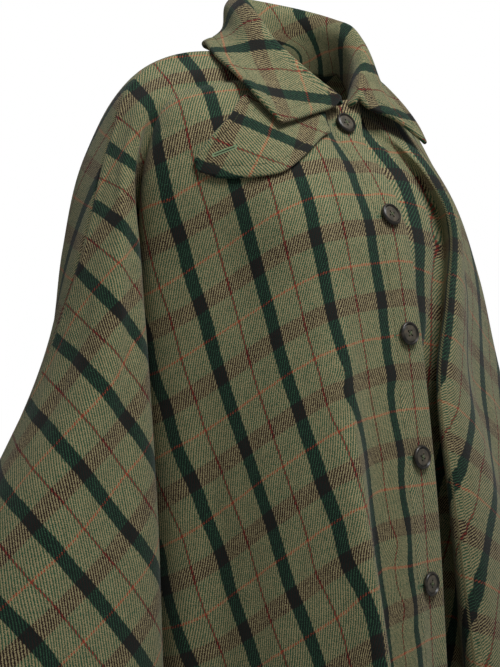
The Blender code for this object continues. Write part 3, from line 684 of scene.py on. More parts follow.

# %% [markdown]
# Creases. Cloth that hangs is never as smooth as a form, so soft troughs and ridges are placed one by one:
# long ones that grow towards the hem, short drag lines on the chest and over the shoulder blades. Each runs
# from one place on the ring to another, and no two have the same length, width or depth.

# %% Creases
Crease = namedtuple("Crease", "place_top drop_top place_foot drop_foot width depth")
CREASES = [
    Crease(0.112, 0.30, 0.117, 1.10, 0.011, -0.0030),
    Crease(0.131, 0.42, 0.134, 1.20, 0.012, 0.0038),
    Crease(0.151, 0.36, 0.152, 1.15, 0.010, -0.0042),
    Crease(0.166, 0.52, 0.166, 1.25, 0.008, 0.0030),
    Crease(0.072, 0.13, 0.098, 0.37, 0.011, -0.0014),
    Crease(0.122, 0.15, 0.112, 0.33, 0.013, 0.0018),
    Crease(0.142, 0.20, 0.130, 0.44, 0.012, -0.0016),
    Crease(0.274, 0.24, 0.283, 0.84, 0.013, -0.0030),
    Crease(0.299, 0.40, 0.306, 1.20, 0.013, 0.0040),
    Crease(0.324, 0.30, 0.321, 0.78, 0.011, -0.0026),
    Crease(0.310, 0.14, 0.290, 0.40, 0.014, 0.0015),
    Crease(0.350, 0.16, 0.372, 0.46, 0.014, -0.0022),
    Crease(0.388, 0.12, 0.420, 0.38, 0.013, 0.0020),
    Crease(0.436, 0.10, 0.446, 0.42, 0.012, -0.0018),
    Crease(0.474, 0.22, 0.472, 0.80, 0.012, 0.0030),
    Crease(0.521, 0.16, 0.524, 0.66, 0.013, -0.0028),
    Crease(0.566, 0.09, 0.556, 0.36, 0.012, 0.0019),
    Crease(0.617, 0.14, 0.580, 0.44, 0.014, -0.0023),
    Crease(0.645, 0.20, 0.634, 0.62, 0.012, 0.0026),
    Crease(0.676, 0.28, 0.680, 0.82, 0.011, -0.0028),
    Crease(0.702, 0.40, 0.695, 1.20, 0.013, 0.0036),
    Crease(0.727, 0.24, 0.719, 0.70, 0.012, -0.0024),
    Crease(0.741, 0.34, 0.743, 1.15, 0.010, -0.0032),
    Crease(0.757, 0.46, 0.756, 1.20, 0.009, 0.0030),
    Crease(0.768, 0.30, 0.767, 0.90, 0.008, -0.0020),
    Crease(0.946, 0.20, 0.940, 0.42, 0.010, 0.0010),
]
SEAM_BAND = 0.0075        # the front's edge lies on the back along the shoulder seam
SEAM_RISE = 0.0013
SEAM_FADE = 0.0015        # the width over which that band sinks back


def with_creases(surface):
    """A cape surface with the creases pressed into it."""
    columns = np.linspace(0, 1, surface.shape[1])
    depth = np.zeros(surface.shape[:2])
    for crease in CREASES:
        run = (DROPS - crease.drop_top) / (crease.drop_foot - crease.drop_top)
        centre = crease.place_top + (crease.place_foot - crease.place_top) * np.clip(run, 0, 1)
        swell = np.where((run > 0) & (run < 1), np.sin(np.pi * np.clip(run, 0, 1) ** 0.8) ** 1.5, 0)
        depth += crease.depth * swell[:, None] * bump((columns[None] - centre[:, None]) / crease.width)
    return surface + depth[..., None] * face_normals(surface)


def with_seam_bands(surface):
    """A cape surface whose fronts rise a little along the shoulder seams."""
    raised = surface.copy()
    out = face_normals(surface)
    for seam, step in ((RIGHT_SEAM, -1), (LEFT_SEAM, 1)):
        run = np.zeros(len(surface))
        for k in range(2 * COLUMN_FINENESS + 1):
            c = seam + step * k
            rise = SEAM_RISE * np.clip((SEAM_BAND - run) / SEAM_FADE, 0, 1)
            raised[:, c] += rise[:, None] * out[:, c]
            run = run + np.linalg.norm(surface[:, c + step] - surface[:, c], axis=1)
    return raised


CORNER_RISE = 0.010       # the right front's top corner stands up between the collar's ends
CORNER_REACH = 0.011      # and reaches over the left one
CORNER_STEP = 0.006       # lying that much further out, on the left end
CORNER_LIFT = 0.7         # its free edge rises by this share of the rise once more
CORNER_FADE = 0.06        # down to this drop the corner fades away
CORNER_START = -0.028     # it begins to rise here across the front
CORNER_RAMP = 0.024       # and has its full rise this much further on
CORNER_WIDENS = -0.004    # from here to the free edge it widens
CORNER_ROWS = 5           # the way up is taken over this many rows


def with_top_corner(surface):
    """A cape surface whose right front rises and widens a little at the top, towards its free edge."""
    raised = surface.copy()
    front = surface[:, :RIGHT_SEAM]
    up = front[0] - front[CORNER_ROWS]
    up = up / np.linalg.norm(up, axis=1, keepdims=True)
    across = np.clip((front[0, :, 0] - CORNER_START) / CORNER_RAMP, 0, 1)
    down = np.clip(1 - DROPS / CORNER_FADE, 0, 1)
    raised[:, :RIGHT_SEAM] += CORNER_RISE * (down[:, None] * across[None, :])[..., None] * up[None]
    aside = unit(front[0, 0] - front[0, CENTRE_FRONT])
    widen = np.clip((front[0, :, 0] - CORNER_WIDENS) / (front[0, 0, 0] - CORNER_WIDENS), 0, 1)
    outward = unit(np.cross(aside, up[0]))
    moved = CORNER_REACH * aside + CORNER_STEP * outward + CORNER_LIFT * CORNER_RISE * up[0]
    raised[:, :RIGHT_SEAM] += (down[:, None] * widen[None, :])[..., None] * moved
    return raised


creased = with_creases(form)
cape = with_top_corner(with_seam_bands(creased))
print("creases:", len(CREASES))

# %% [markdown]
# The wool. Its twill shows a tan warp and a green weft in slanting lines, and both are dyed in bands, which
# makes the plaid. A shared node group works out the yarn colour and the height of the weave from the flat
# coordinates in metres, so the same cloth serves every panel.

# %% Helpers for shader nodes


def socket_in(tree, socket, value):
    """Sets a socket to a number or colour, or links another socket to it."""
    if isinstance(value, bpy.types.NodeSocket):
        tree.links.new(value, socket)
    else:
        socket.default_value = value


def fill(tree, node, values):
    """Sets or links several inputs of a node by their names."""
    for name, value in values.items():
        socket_in(tree, node.inputs[name], value)


def new_material(name):
    """A new material with its node tree and its main shader."""
    material = bpy.data.materials.new(name)
    material.use_nodes = True
    return material, material.node_tree, material.node_tree.nodes["Principled BSDF"]


def calc(tree, operation, *values):
    node = tree.nodes.new("ShaderNodeMath")
    node.operation = operation
    for socket, value in zip(node.inputs, values):
        socket_in(tree, socket, value)
    return node.outputs[0]


def soft_step(tree, value, low, high):
    """0 below low and 1 above high, with a smooth change between them."""
    node = tree.nodes.new("ShaderNodeMapRange")
    node.interpolation_type = "SMOOTHSTEP"
    fill(tree, node, {"Value": value, "From Min": low, "From Max": high})
    return node.outputs["Result"]


def blend(tree, share, a, b, mode="MIX"):
    node = tree.nodes.new("ShaderNodeMix")
    node.data_type = "RGBA"
    node.blend_type = mode
    for socket, value in ((node.inputs[0], share), (node.inputs[6], a), (node.inputs[7], b)):
        socket_in(tree, socket, value)
    return node.outputs[2]


def grain(tree, across, along_thread, size, detail=1.0):
    """Noise with grains of the given size on the flat cloth, from 0 to 1."""
    where = tree.nodes.new("ShaderNodeCombineXYZ")
    for socket, value in zip(where.inputs, (across, along_thread)):
        socket_in(tree, socket, calc(tree, "DIVIDE", value, size))
    noise = tree.nodes.new("ShaderNodeTexNoise")
    fill(tree, noise, {"Scale": 1.0, "Detail": detail, "Vector": where.outputs[0]})
    return noise.outputs["Fac"]


def colour(red, green, blue):
    """A colour from its usual 0 to 255 numbers, as the linear values that shaders use."""
    shares = (red / 255, green / 255, blue / 255)
    linear = [c / 12.92 if c <= 0.04045 else ((c + 0.055) / 1.055) ** 2.4 for c in shares]
    return (*linear, 1.0)


# %% The plaid twill
TWILL_PITCH = 0.0026
TWILL_ANGLE = math.radians(58)
PICK = 0.0013             # one weft yarn
STAIR_SHARE = 0.6         # how much a twill line climbs in steps of one pick, and the rest evenly
SWAY = 0.0016             # how far the threads wander
SWAY_GRAIN = 0.006        # in patches of this size
RAGGED = 0.9              # how ragged a twill line is
RAGGED_GRAIN = 0.0011
LINT_GRAIN = 0.0009
PATCH_GRAIN = 0.012
DARK_SOFT = 0.0005        # half the width over which a band's edge fades
BROWN_SOFT = 0.0008
RED_LINE = (0.0008, 0.0015)      # a line is full up to the first distance from its middle, and ends
ORANGE_LINE = (0.0008, 0.0014)   # at the second
DARK_COVERS = 0.22        # a dark band of the warp covers more of the weft
BROWN_SHOWS = 0.09        # and a brown band of the weft shows more
WEFT_STARTS, WEFT_FULL = 0.36, 0.66
DARK_WIDTH = 0.0136
BROWN_WIDTH = 0.017
WARP_TAN = colour(165, 152, 113)
WARP_DARK = colour(22, 33, 29)
WARP_RED = colour(140, 58, 46)
WEFT_GREEN = colour(50, 88, 63)
WEFT_BROWN = colour(42, 29, 26)
WEFT_ORANGE = colour(158, 74, 48)


def make_plaid_group():
    tree = bpy.data.node_groups.new("plaid_twill", "ShaderNodeTree")
    for name in ("Across", "Along"):
        tree.interface.new_socket(name, in_out="INPUT", socket_type="NodeSocketFloat")
    tree.interface.new_socket("Colour", in_out="OUTPUT", socket_type="NodeSocketColor")
    tree.interface.new_socket("Height", in_out="OUTPUT", socket_type="NodeSocketFloat")
    given = tree.nodes.new("NodeGroupInput").outputs
    made = tree.nodes.new("NodeGroupOutput").inputs
    drift = calc(tree, "SUBTRACT", grain(tree, given["Across"], given["Along"], SWAY_GRAIN), 0.5)
    sway = calc(tree, "MULTIPLY", drift, SWAY)
    across = calc(tree, "ADD", given["Across"], sway)
    thread = calc(tree, "ADD", given["Along"], sway)

    def from_line(value, repeat):
        """Distance from the nearest multiple of the repeat."""
        return calc(tree, "PINGPONG", value, repeat / 2)

    warp_gap = from_line(across, PLAID_ACROSS)
    weft_gap = from_line(thread, PLAID_ALONG)
    dark_from, brown_from = PLAID_ACROSS / 2 - DARK_WIDTH / 2, BROWN_WIDTH / 2
    dark = soft_step(tree, warp_gap, dark_from - DARK_SOFT, dark_from + DARK_SOFT)
    red = calc(tree, "SUBTRACT", 1.0, soft_step(tree, warp_gap, *RED_LINE))
    off_brown = soft_step(tree, weft_gap, brown_from - BROWN_SOFT, brown_from + BROWN_SOFT)
    brown = calc(tree, "SUBTRACT", 1.0, off_brown)
    orange_middle = PLAID_ALONG / 2
    orange = soft_step(tree, weft_gap, orange_middle - ORANGE_LINE[1], orange_middle - ORANGE_LINE[0])
    warp = blend(tree, red, blend(tree, dark, WARP_TAN, WARP_DARK), WARP_RED)
    weft = blend(tree, orange, blend(tree, brown, WEFT_GREEN, WEFT_BROWN), WEFT_ORANGE)

    stair = calc(tree, "SNAP", thread, PICK)
    stepped = calc(tree, "ADD", calc(tree, "MULTIPLY", thread, 1 - STAIR_SHARE),
                   calc(tree, "MULTIPLY", stair, STAIR_SHARE))
    slant = calc(tree, "SUBTRACT", calc(tree, "MULTIPLY", across, math.sin(TWILL_ANGLE) / TWILL_PITCH),
                 calc(tree, "MULTIPLY", stepped, math.cos(TWILL_ANGLE) / TWILL_PITCH))
    fuzz = calc(tree, "SUBTRACT", grain(tree, across, thread, RAGGED_GRAIN), 0.5)
    ragged = calc(tree, "MULTIPLY", fuzz, RAGGED)
    wave = calc(tree, "MULTIPLY", calc(tree, "PINGPONG", calc(tree, "ADD", slant, ragged), 0.5), 2.0)
    hidden = calc(tree, "SUBTRACT", calc(tree, "MULTIPLY", dark, DARK_COVERS),
                  calc(tree, "MULTIPLY", brown, BROWN_SHOWS))
    shows_weft = soft_step(tree, wave, calc(tree, "ADD", hidden, WEFT_STARTS),
                           calc(tree, "ADD", hidden, WEFT_FULL))
    yarn = blend(tree, shows_weft, warp, weft)
    lint = grain(tree, across, thread, LINT_GRAIN, 2.0)
    patch = grain(tree, across, thread, PATCH_GRAIN, 2.0)
    patches = calc(tree, "ADD", calc(tree, "MULTIPLY", patch, 0.4), 0.05)
    tone = calc(tree, "ADD", calc(tree, "MULTIPLY", lint, 1.5), patches)
    shade = tree.nodes.new("ShaderNodeCombineColor")
    for socket in shade.inputs:
        socket_in(tree, socket, tone)
    socket_in(tree, made["Colour"], blend(tree, 1.0, yarn, shade.outputs[0], "MULTIPLY"))
    rib = calc(tree, "MULTIPLY", calc(tree, "ABSOLUTE", calc(tree, "SUBTRACT", wave, 0.5)), 1.4)
    socket_in(tree, made["Height"], calc(tree, "ADD", rib, calc(tree, "MULTIPLY", lint, 0.6)))
    return tree


PLAID = make_plaid_group()


def make_wool():
    material, tree, shader = new_material("plaid_wool")
    flat = tree.nodes.new("ShaderNodeUVMap")
    flat.uv_map = "flat"
    parts = tree.nodes.new("ShaderNodeSeparateXYZ")
    tree.links.new(flat.outputs[0], parts.inputs[0])
    plaid = tree.nodes.new("ShaderNodeGroup")
    plaid.node_tree = PLAID
    fill(tree, plaid, {"Across": parts.outputs[0], "Along": parts.outputs[1]})
    relief = tree.nodes.new("ShaderNodeBump")
    fill(tree, relief, {"Strength": 0.5, "Distance": 0.0005, "Height": plaid.outputs["Height"]})
    fill(tree, shader, {"Base Color": plaid.outputs["Colour"], "Normal": relief.outputs[0], "Roughness": 0.92,
                        "Specular IOR Level": 0.15, "Sheen Weight": 0.12, "Sheen Roughness": 0.5})
    return material


wool = make_wool()
print("material:", wool.name)

# %% [markdown]
# The panels. Each is a closed wall of wool. The rim is drawn in a little and rounded, so that a cut edge
# looks soft and folded over, not sawn off.

# %% Walls of cloth


def border_of(rows, columns):
    return ([(0, c) for c in range(columns)] + [(r, columns - 1) for r in range(1, rows)]
            + [(rows - 1, c) for c in range(columns - 2, -1, -1)] + [(r, 0) for r in range(rows - 2, 0, -1)])


def outwards(grid, border):
    """For each border point of a grid, the unit direction away from the grid."""
    rows, columns = grid.shape[:2]
    away = []
    for r, c in border:
        inner = grid[min(max(r, 1), rows - 2), min(max(c, 1), columns - 2)]
        away.append(unit(grid[r, c] - inner))
    return np.array(away)


def drawn_in(face, border, away, amount):
    """A copy of a grid with its border moved back towards the inside."""
    moved = face.copy()
    for (r, c), direction in zip(border, away):
        moved[r, c] -= direction * amount
    return moved


RIM_ANGLES = [math.radians(a) for a in (52, 18, -18, -52)]


def cloth_wall(name, outer, inner, flat, rim):
    """A closed wall between two faces, with a rounded rim and the flat coordinates as its UV map."""
    rows, columns = outer.shape[:2]
    border = border_of(rows, columns)
    middle = (outer + inner) / 2
    away, flat_away = outwards(middle, border), outwards(flat, border)
    outer, inner = drawn_in(outer, border, away, rim), drawn_in(inner, border, away, rim)
    at = tuple(np.array(border).T)
    centre, half = (outer[at] + inner[at]) / 2, (outer[at] - inner[at]) / 2
    radius = np.linalg.norm(half, axis=1, keepdims=True)
    sheet = flat.reshape(-1, 2)
    places, laid = [outer.reshape(-1, 3), inner.reshape(-1, 3)], [sheet, sheet]
    for angle in RIM_ANGLES:
        places.append(centre + half * math.sin(angle) + away * radius * math.cos(angle))
        laid.append(flat[at] + flat_away * radius * (math.pi / 2 - abs(angle)))
    index = np.arange(rows * columns).reshape(rows, columns)
    quads = np.stack([index[:-1, :-1], index[:-1, 1:], index[1:, 1:], index[1:, :-1]], 2).reshape(-1, 4)
    count, edge = rows * columns, index[at]
    lines = [edge] + [2 * count + k * len(border) + np.arange(len(border)) for k in range(len(RIM_ANGLES))]
    lines.append(edge + count)
    faces = [quads, quads[:, ::-1] + count]
    for upper, lower in zip(lines, lines[1:]):
        faces.append(np.stack([np.roll(upper, -1), upper, lower, np.roll(lower, -1)], 1))
    faces = np.concatenate(faces)
    mesh = bpy.data.meshes.new(name)
    mesh.from_pydata(np.concatenate(places).tolist(), [], faces.tolist())
    layer = mesh.uv_layers.new(name="flat")
    layer.data.foreach_set("uv", np.concatenate(laid)[faces.ravel()].astype(np.float32).ravel())
    mesh.shade_smooth()
    mesh.materials.append(wool)
    return add_object(name, mesh)


def declare_cloth(piece, node):
    """Puts a cloth piece in place of its solid: attaches it to the root body and hides the solid."""
    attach(piece, "root")
    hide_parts(node)


RIM = 0.0010
UNDER_SEAM = 0.0030       # how deep the back's seam edge lies under the front's
SEAM_LEAN = 0.3           # the share of that depth at the seam itself

right_face = cape[:, :RIGHT_SEAM + 1]
left_face = cape[:, LEFT_SEAM:]
tucked = creased.copy()
out = face_normals(creased)
for column in (RIGHT_SEAM - 1, LEFT_SEAM + 1):
    tucked[:, column] -= UNDER_SEAM * out[:, column]
for column in (RIGHT_SEAM, LEFT_SEAM):
    tucked[:, column] -= SEAM_LEAN * UNDER_SEAM * out[:, column]
back_face = tucked[:, RIGHT_SEAM - 1:LEFT_SEAM + 2]
whole = flats["back"]
before = 2 * whole[:, :1] - whole[:, 1:2]
after = 2 * whole[:, -1:] - whole[:, -2:-1]
back_flat = np.concatenate([before, whole, after], 1)


def walled(name, face, flat, rim):
    """A cloth wall whose inside lies one thickness below its face."""
    return cloth_wall(name, face, face - CLOTH * face_normals(face), flat, rim)


right_piece = walled("right_front_cloth", right_face, flats["front_right"], RIM)
left_piece = walled("left_front_cloth", left_face, flats["front_left"], RIM)
back_piece = walled("back_cloth", back_face, back_flat, RIM)

# %% [markdown]
# The collar is one turned-down piece of two layers. Its stand rises from the neck seam, rolls over and falls
# as a leaf. Rows across it, from one front end round the back to the other, are joined by smooth curves.

# %% Collar
COLLAR_CLOTH = 0.0052
STAND_ROUND = 0.003
COLLAR_FOOT = 0.0050      # the stand reaches down inside the neck edge, as its sewn allowance does
COLLAR_INSIDE = 0.0046    # and lies this much inside it
COLLAR_START = 0.05       # both begin at this share of the neck from the centre front
COLLAR_FADE = 0.2         # and are whole this much further on
NECK_MIDDLE = -0.012      # the middle of the neck, from front to back

CollarRow = namedtuple(
    "CollarRow", "neck_share roll_x roll_reach roll_drop edge_x edge_reach edge_drop turn bulge")
COLLAR = [
    CollarRow(0.050, -0.008, 0.096, -0.059, -0.096, 0.110, -0.096, 0.0040, 0.002),
    CollarRow(0.170, -0.031, 0.083, -0.040, -0.107, 0.097, -0.077, 0.0050, 0.005),
    CollarRow(0.270, -0.046, 0.064, -0.018, -0.115, 0.084, -0.060, 0.0060, 0.007),
    CollarRow(0.380, -0.056, 0.045, 0.004, -0.115, 0.059, -0.040, 0.0060, 0.008),
    CollarRow(0.500, -0.061, 0.026, 0.030, -0.112, 0.026, -0.018, 0.0060, 0.009),
    CollarRow(0.640, -0.060, 0.002, 0.050, -0.101, -0.006, 0.002, 0.0060, 0.010),
    CollarRow(0.830, -0.042, -0.036, 0.066, -0.067, -0.054, 0.013, 0.0060, 0.010),
    CollarRow(1.000, 0.000, -0.057, 0.075, 0.000, -0.092, 0.020, 0.0060, 0.009),
    CollarRow(1.170, 0.046, -0.034, 0.068, 0.072, -0.053, 0.013, 0.0060, 0.010),
    CollarRow(1.360, 0.064, 0.008, 0.050, 0.104, 0.006, 0.001, 0.0060, 0.009),
    CollarRow(1.500, 0.066, 0.034, 0.036, 0.111, 0.036, -0.020, 0.0060, 0.009),
    CollarRow(1.620, 0.062, 0.054, 0.012, 0.113, 0.060, -0.042, 0.0060, 0.007),
    CollarRow(1.730, 0.048, 0.072, -0.014, 0.112, 0.080, -0.062, 0.0060, 0.006),
    CollarRow(1.830, 0.033, 0.085, -0.034, 0.110, 0.093, -0.077, 0.0050, 0.001),
    CollarRow(1.930, 0.020, 0.094, -0.055, 0.108, 0.104, -0.093, 0.0040, -0.004),
]
COLLAR_STEPS = 10
COLLAR_ACROSS = 16
COLLAR_COARSE = (8, 5)


def collar_section(row, seam):
    """The named points across the collar: up the stand, over the roll and down the leaf."""
    roll = np.array([row.roll_x, -row.roll_reach, row.roll_drop])
    edge = np.array([row.edge_x, -row.edge_reach, row.edge_drop])
    flat = unit((edge - seam) * (1, 1, 0.0))
    up = np.array([0, 0, 1.0])
    rise = roll - (flat + up) * row.turn
    fall = roll + (flat - up) * row.turn
    stand = (seam + rise) / 2 - flat * STAND_ROUND
    leaf = (fall + edge) / 2 + unit(np.cross(np.cross(up, flat), edge - fall)) * row.bulge
    return [seam, stand, rise, roll, fall, leaf, edge]


def collar_surface():
    """The middle of the collar's cloth: rows from neck seam to outer edge, columns from right to left."""
    middle = form.shape[1] // 2
    right_neck = form[0, CENTRE_FRONT:middle + 1]
    left_neck = form[0, middle:-CENTRE_FRONT][::-1]
    lines = []
    for values in spline(COLLAR, [COLLAR_STEPS] * (len(COLLAR) - 1)):
        row = CollarRow(*values)
        share = row.neck_share
        seam = along(right_neck, share) if share <= 1 else along(left_neck, 2 - share)
        inward = unit(np.array([0.0, NECK_MIDDLE, seam[2]]) - seam)
        fade = np.clip((min(share, 2 - share) - COLLAR_START) / COLLAR_FADE, 0, 1)
        seam = seam + inward * COLLAR_INSIDE * fade - np.array([0, 0, COLLAR_FOOT * fade])
        lines.append(spline(collar_section(row, seam), [COLLAR_ACROSS] * 6))
    return np.transpose(np.array(lines), (1, 0, 2))


def distance_in(grid, ends):
    """The distance of each grid point from the named edges: top, foot, first and last."""
    runs_down, runs_round = runs_over(grid, 0), runs_over(grid, 1)
    from_edge = {"top": runs_down, "foot": runs_down[-1:] - runs_down,
                 "first": runs_round, "last": runs_round[:, -1:] - runs_round}
    return np.min([from_edge[end] for end in ends], axis=0)


def stitched_down(inset, at, depth):
    """How far a face sinks along a line of stitches and swells beside the edge."""
    sunk = -depth * np.exp(-((inset - at) / 0.0016) ** 2)
    return sunk + 0.6 * depth * bump((inset - 0.5 * at) / (0.55 * at))


collar = collar_surface()
across_step, round_step = COLLAR_COARSE
collar_rows = collar[::across_step, ::round_step]
collar_guess = first_guess(collar_rows, collar_rows.shape[1] // 2) * (-1, 1)
collar_holds = trace_holds("collar", collar_rows, 0.0)
collar_flat = lay_flat(collar_rows, collar_guess, collar_holds, np.ones(collar_rows.shape[:2]))
collar_flat = refine(refine(collar_flat, round_step, 1), across_step, 0)
COLLAR_STITCH = 0.0125
roll_row = 3 * COLLAR_ACROSS
collar_inset = distance_in(collar, ("foot", "first", "last"))
collar_inset[:roll_row + 4] = 1.0
collar_out = face_normals(collar)
half = COLLAR_CLOTH / 2 * collar_out
collar_face = collar + half + stitched_down(collar_inset, COLLAR_STITCH, 0.0007)[..., None] * collar_out
collar_piece = cloth_wall("collar_cloth", collar_face, collar - half, collar_flat, 0.0016)
print("collar:", collar.shape[0], "by", collar.shape[1], "points,", len(collar_holds), "holds")

# %% [markdown]
# The throat tab lies on the right front below the collar. Its outline is given on the front itself, as
# distances from the centre line and shares of the drop, so it follows the front's curve.

# %% Throat tab
TAB_CLOTH = 0.0034
TAB_LIFT = 0.0020
TAB_LENGTH_STEPS = 12
TAB_WIDTH_STEPS = 30
TabRow = namedtuple("TabRow", "upper_out upper_drop lower_out lower_drop")
TAB = [
    TabRow(0.034, 0.050, 0.041, 0.092),
    TabRow(0.076, 0.052, 0.080, 0.134),
    TabRow(0.127, 0.077, 0.120, 0.180),
    TabRow(0.161, 0.129, 0.168, 0.204),
    TabRow(0.189, 0.171, 0.194, 0.210),
    TabRow(0.205, 0.197, 0.203, 0.208),
]


def on_right_front(out, drop):
    """The point of the right front at a distance from the centre line and a share of the drop."""
    place = float(np.interp(drop, DROPS, np.arange(len(DROPS))))
    row = min(int(place), len(DROPS) - 2)
    ring = (cape[row] + (cape[row + 1] - cape[row]) * (place - row))[CENTRE_FRONT:RIGHT_SEAM + 1]
    return at_run(ring, out)


def tab_surface():
    rows = spline([(*row,) for row in TAB], [TAB_LENGTH_STEPS] * (len(TAB) - 1))
    lying = []
    for upper_out, upper_drop, lower_out, lower_drop in rows:
        lying.append([on_right_front(lower_out + (upper_out - lower_out) * w,
                                     lower_drop + (upper_drop - lower_drop) * w)
                      for w in np.linspace(0, 1, TAB_WIDTH_STEPS + 1)])
    return np.transpose(np.array(lying), (1, 0, 2))[::-1]


tab = tab_surface()
tab_out = face_normals(tab)
TAB_STITCH = 0.0115
under = tab + TAB_LIFT * tab_out
tab_inset = distance_in(tab, ("top", "foot", "last"))
tab_face = under + (TAB_CLOTH + stitched_down(tab_inset, TAB_STITCH, 0.0006)[..., None]) * tab_out
tab_rows = tab_face[::3, ::3]
tab_guess = -first_guess(tab_rows, 0)[..., ::-1]
tab_holds = trace_holds("throat_tab", tab_rows, 0.0)
tab_flat = lay_flat(tab_rows, tab_guess, tab_holds, np.ones(tab_rows.shape[:2]))
tab_flat = refine(refine(tab_flat, 3, 1), 3, 0)
tab_piece = cloth_wall("throat_tab_cloth", tab_face, under, tab_flat, 0.0014)
print("tab:", tab.shape[0], "by", tab.shape[1], "points")

# %% [markdown]
# Sewing repeats one small shape many times, so it is made with geometry nodes: a unit stitch stands on every
# point of a line, turned along it, and is then made real. The same group sets the buttonhole thread.

# %% Repeating a shape on points


def make_scatter_group():
    tree = bpy.data.node_groups.new("shape_on_points", "GeometryNodeTree")
    kinds = {"Places": "Geometry", "Shape": "Object", "Look": "Material", "Uneven": "Float"}
    for name, kind in kinds.items():
        tree.interface.new_socket(name, in_out="INPUT", socket_type="NodeSocket" + kind)
    tree.interface.new_socket("Made", in_out="OUTPUT", socket_type="NodeSocketGeometry")
    given = tree.nodes.new("NodeGroupInput").outputs
    made = tree.nodes.new("NodeGroupOutput")
    shape = tree.nodes.new("GeometryNodeObjectInfo")
    fill(tree, shape, {"Object": given["Shape"]})
    attribute = tree.nodes.new("GeometryNodeInputNamedAttribute")
    attribute.data_type = "FLOAT_VECTOR"
    fill(tree, attribute, {"Name": "turn"})
    turn = tree.nodes.new("FunctionNodeEulerToRotation")
    socket_in(tree, turn.inputs[0], attribute.outputs["Attribute"])
    chance = tree.nodes.new("FunctionNodeRandomValue")
    chance.data_type = "FLOAT"
    fill(tree, chance, {"Seed": 7})
    for sign, socket in ((-1.0, chance.inputs[2]), (1.0, chance.inputs[3])):
        socket_in(tree, socket, calc(tree, "MULTIPLY_ADD", given["Uneven"], sign, 1.0))
    placed = tree.nodes.new("GeometryNodeInstanceOnPoints")
    fill(tree, placed, {"Points": given["Places"], "Instance": shape.outputs["Geometry"],
                        "Rotation": turn.outputs[0], "Scale": chance.outputs[1]})
    real = tree.nodes.new("GeometryNodeRealizeInstances")
    fill(tree, real, {"Geometry": placed.outputs["Instances"]})
    look = tree.nodes.new("GeometryNodeSetMaterial")
    fill(tree, look, {"Geometry": real.outputs["Geometry"], "Material": given["Look"]})
    fill(tree, made, {"Made": look.outputs["Geometry"]})
    return tree


SCATTER = make_scatter_group()


def turned(onward, outward):
    """The turn that points z outwards and x as nearly onwards as it can."""
    z = Vector(outward).normalized()
    x = (Vector(onward) - z * z.dot(Vector(onward))).normalized()
    return Matrix((x, z.cross(x), z)).transposed()


def repeated(name, spots, shape, look, uneven=0.08):
    """A piece with the shape on every spot. A spot is a place, a direction for the shape's length and the
    outward direction."""
    turns = [tuple(turned(onward, outward).to_euler()) for _, onward, outward in spots]
    points = bpy.data.meshes.new(name + "_points")
    points.from_pydata([tuple(spot[0]) for spot in spots], [], [])
    turn = points.attributes.new("turn", "FLOAT_VECTOR", "POINT")
    turn.data.foreach_set("vector", np.array(turns, np.float32).ravel())
    source = add_object(name + "_points", points)
    nodes = source.modifiers.new("repeat", "NODES")
    nodes.node_group = SCATTER
    sockets = {item.name: item.identifier for item in SCATTER.interface.items_tree if item.in_out == "INPUT"}
    nodes[sockets["Shape"]] = shape
    nodes[sockets["Look"]] = look
    nodes[sockets["Uneven"]] = uneven
    graph = bpy.context.evaluated_depsgraph_get()
    mesh = bpy.data.meshes.new_from_object(source.evaluated_get(graph))
    mesh.name = name
    mesh.shade_smooth()
    bpy.data.objects.remove(source)
    bpy.data.meshes.remove(points)
    piece = add_object(name, mesh)
    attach(piece, "root")
    print(name, len(spots), "repeats,", len(mesh.polygons), "faces")
    return piece


def to_data(mesh, name):
    """The mesh data of a finished bmesh, which is then freed."""
    data = bpy.data.meshes.new(name)
    mesh.to_mesh(data)
    mesh.free()
    return data


def make_capsule(name, length, width, height):
    """A short rounded thread, lying along x."""
    mesh = bmesh.new()
    bmesh.ops.create_uvsphere(mesh, u_segments=6, v_segments=5, radius=0.5)
    bmesh.ops.rotate(mesh, verts=mesh.verts, matrix=Matrix.Rotation(math.pi / 2, 3, "Y"))
    bmesh.ops.scale(mesh, verts=mesh.verts, vec=(length, width, height))
    return add_object(name, to_data(mesh, name))


def plain_material(name, tint, roughness):
    material, tree, shader = new_material(name)
    fill(tree, shader, {"Base Color": tint, "Roughness": roughness, "Specular IOR Level": 0.2})
    return material


sewing_thread = plain_material("sewing_thread", colour(70, 75, 52), 0.8)
overcast_thread = plain_material("overcast_thread", colour(118, 112, 80), 0.85)
tab_thread = plain_material("tab_hole_thread", colour(136, 160, 122), 0.75)
hole_thread = plain_material("buttonhole_thread", colour(96, 118, 90), 0.75)
button_strand = plain_material("button_thread", colour(112, 124, 92), 0.75)
# Near-black painted shadow for the buttonhole slits: it stands for the shade inside the cut.
slit_painted_shadow = plain_material("slit_shadow", colour(14, 16, 13), 0.95)

# %% Lines of stitches
STITCH_PITCH = 0.0036
HEM_PITCH = 0.0044
OVERCAST_PITCH = 0.0030
OVERCAST_SLANT = 0.9


def stitch_spots(path, outward, pitch=STITCH_PITCH):
    """Spots at even distances along a path. outward gives a direction for every point of the path."""
    path, outward = np.asarray(path), np.asarray(outward)
    runs = runs_along(path)
    marks = np.arange(pitch / 2, runs[-1], pitch)
    places = read_off(marks, runs, path)
    return list(zip(places, np.gradient(places, axis=0), read_off(marks, runs, outward)))


def inset_points(face, out, inset, at, lines):
    """The place on each given line of a face where its distance from the edge reaches a value."""
    path, sides = [], []
    for rows, columns in lines:
        line, away, normal = face[rows, columns], inset[rows, columns], out[rows, columns]
        beyond = np.nonzero((away[:-1] < at) & (away[1:] >= at))[0]
        if len(beyond):
            k = beyond[0]
            share = (at - away[k]) / (away[k + 1] - away[k])
            path.append(line[k] + (line[k + 1] - line[k]) * share)
            sides.append(normal[k])
    return path, sides


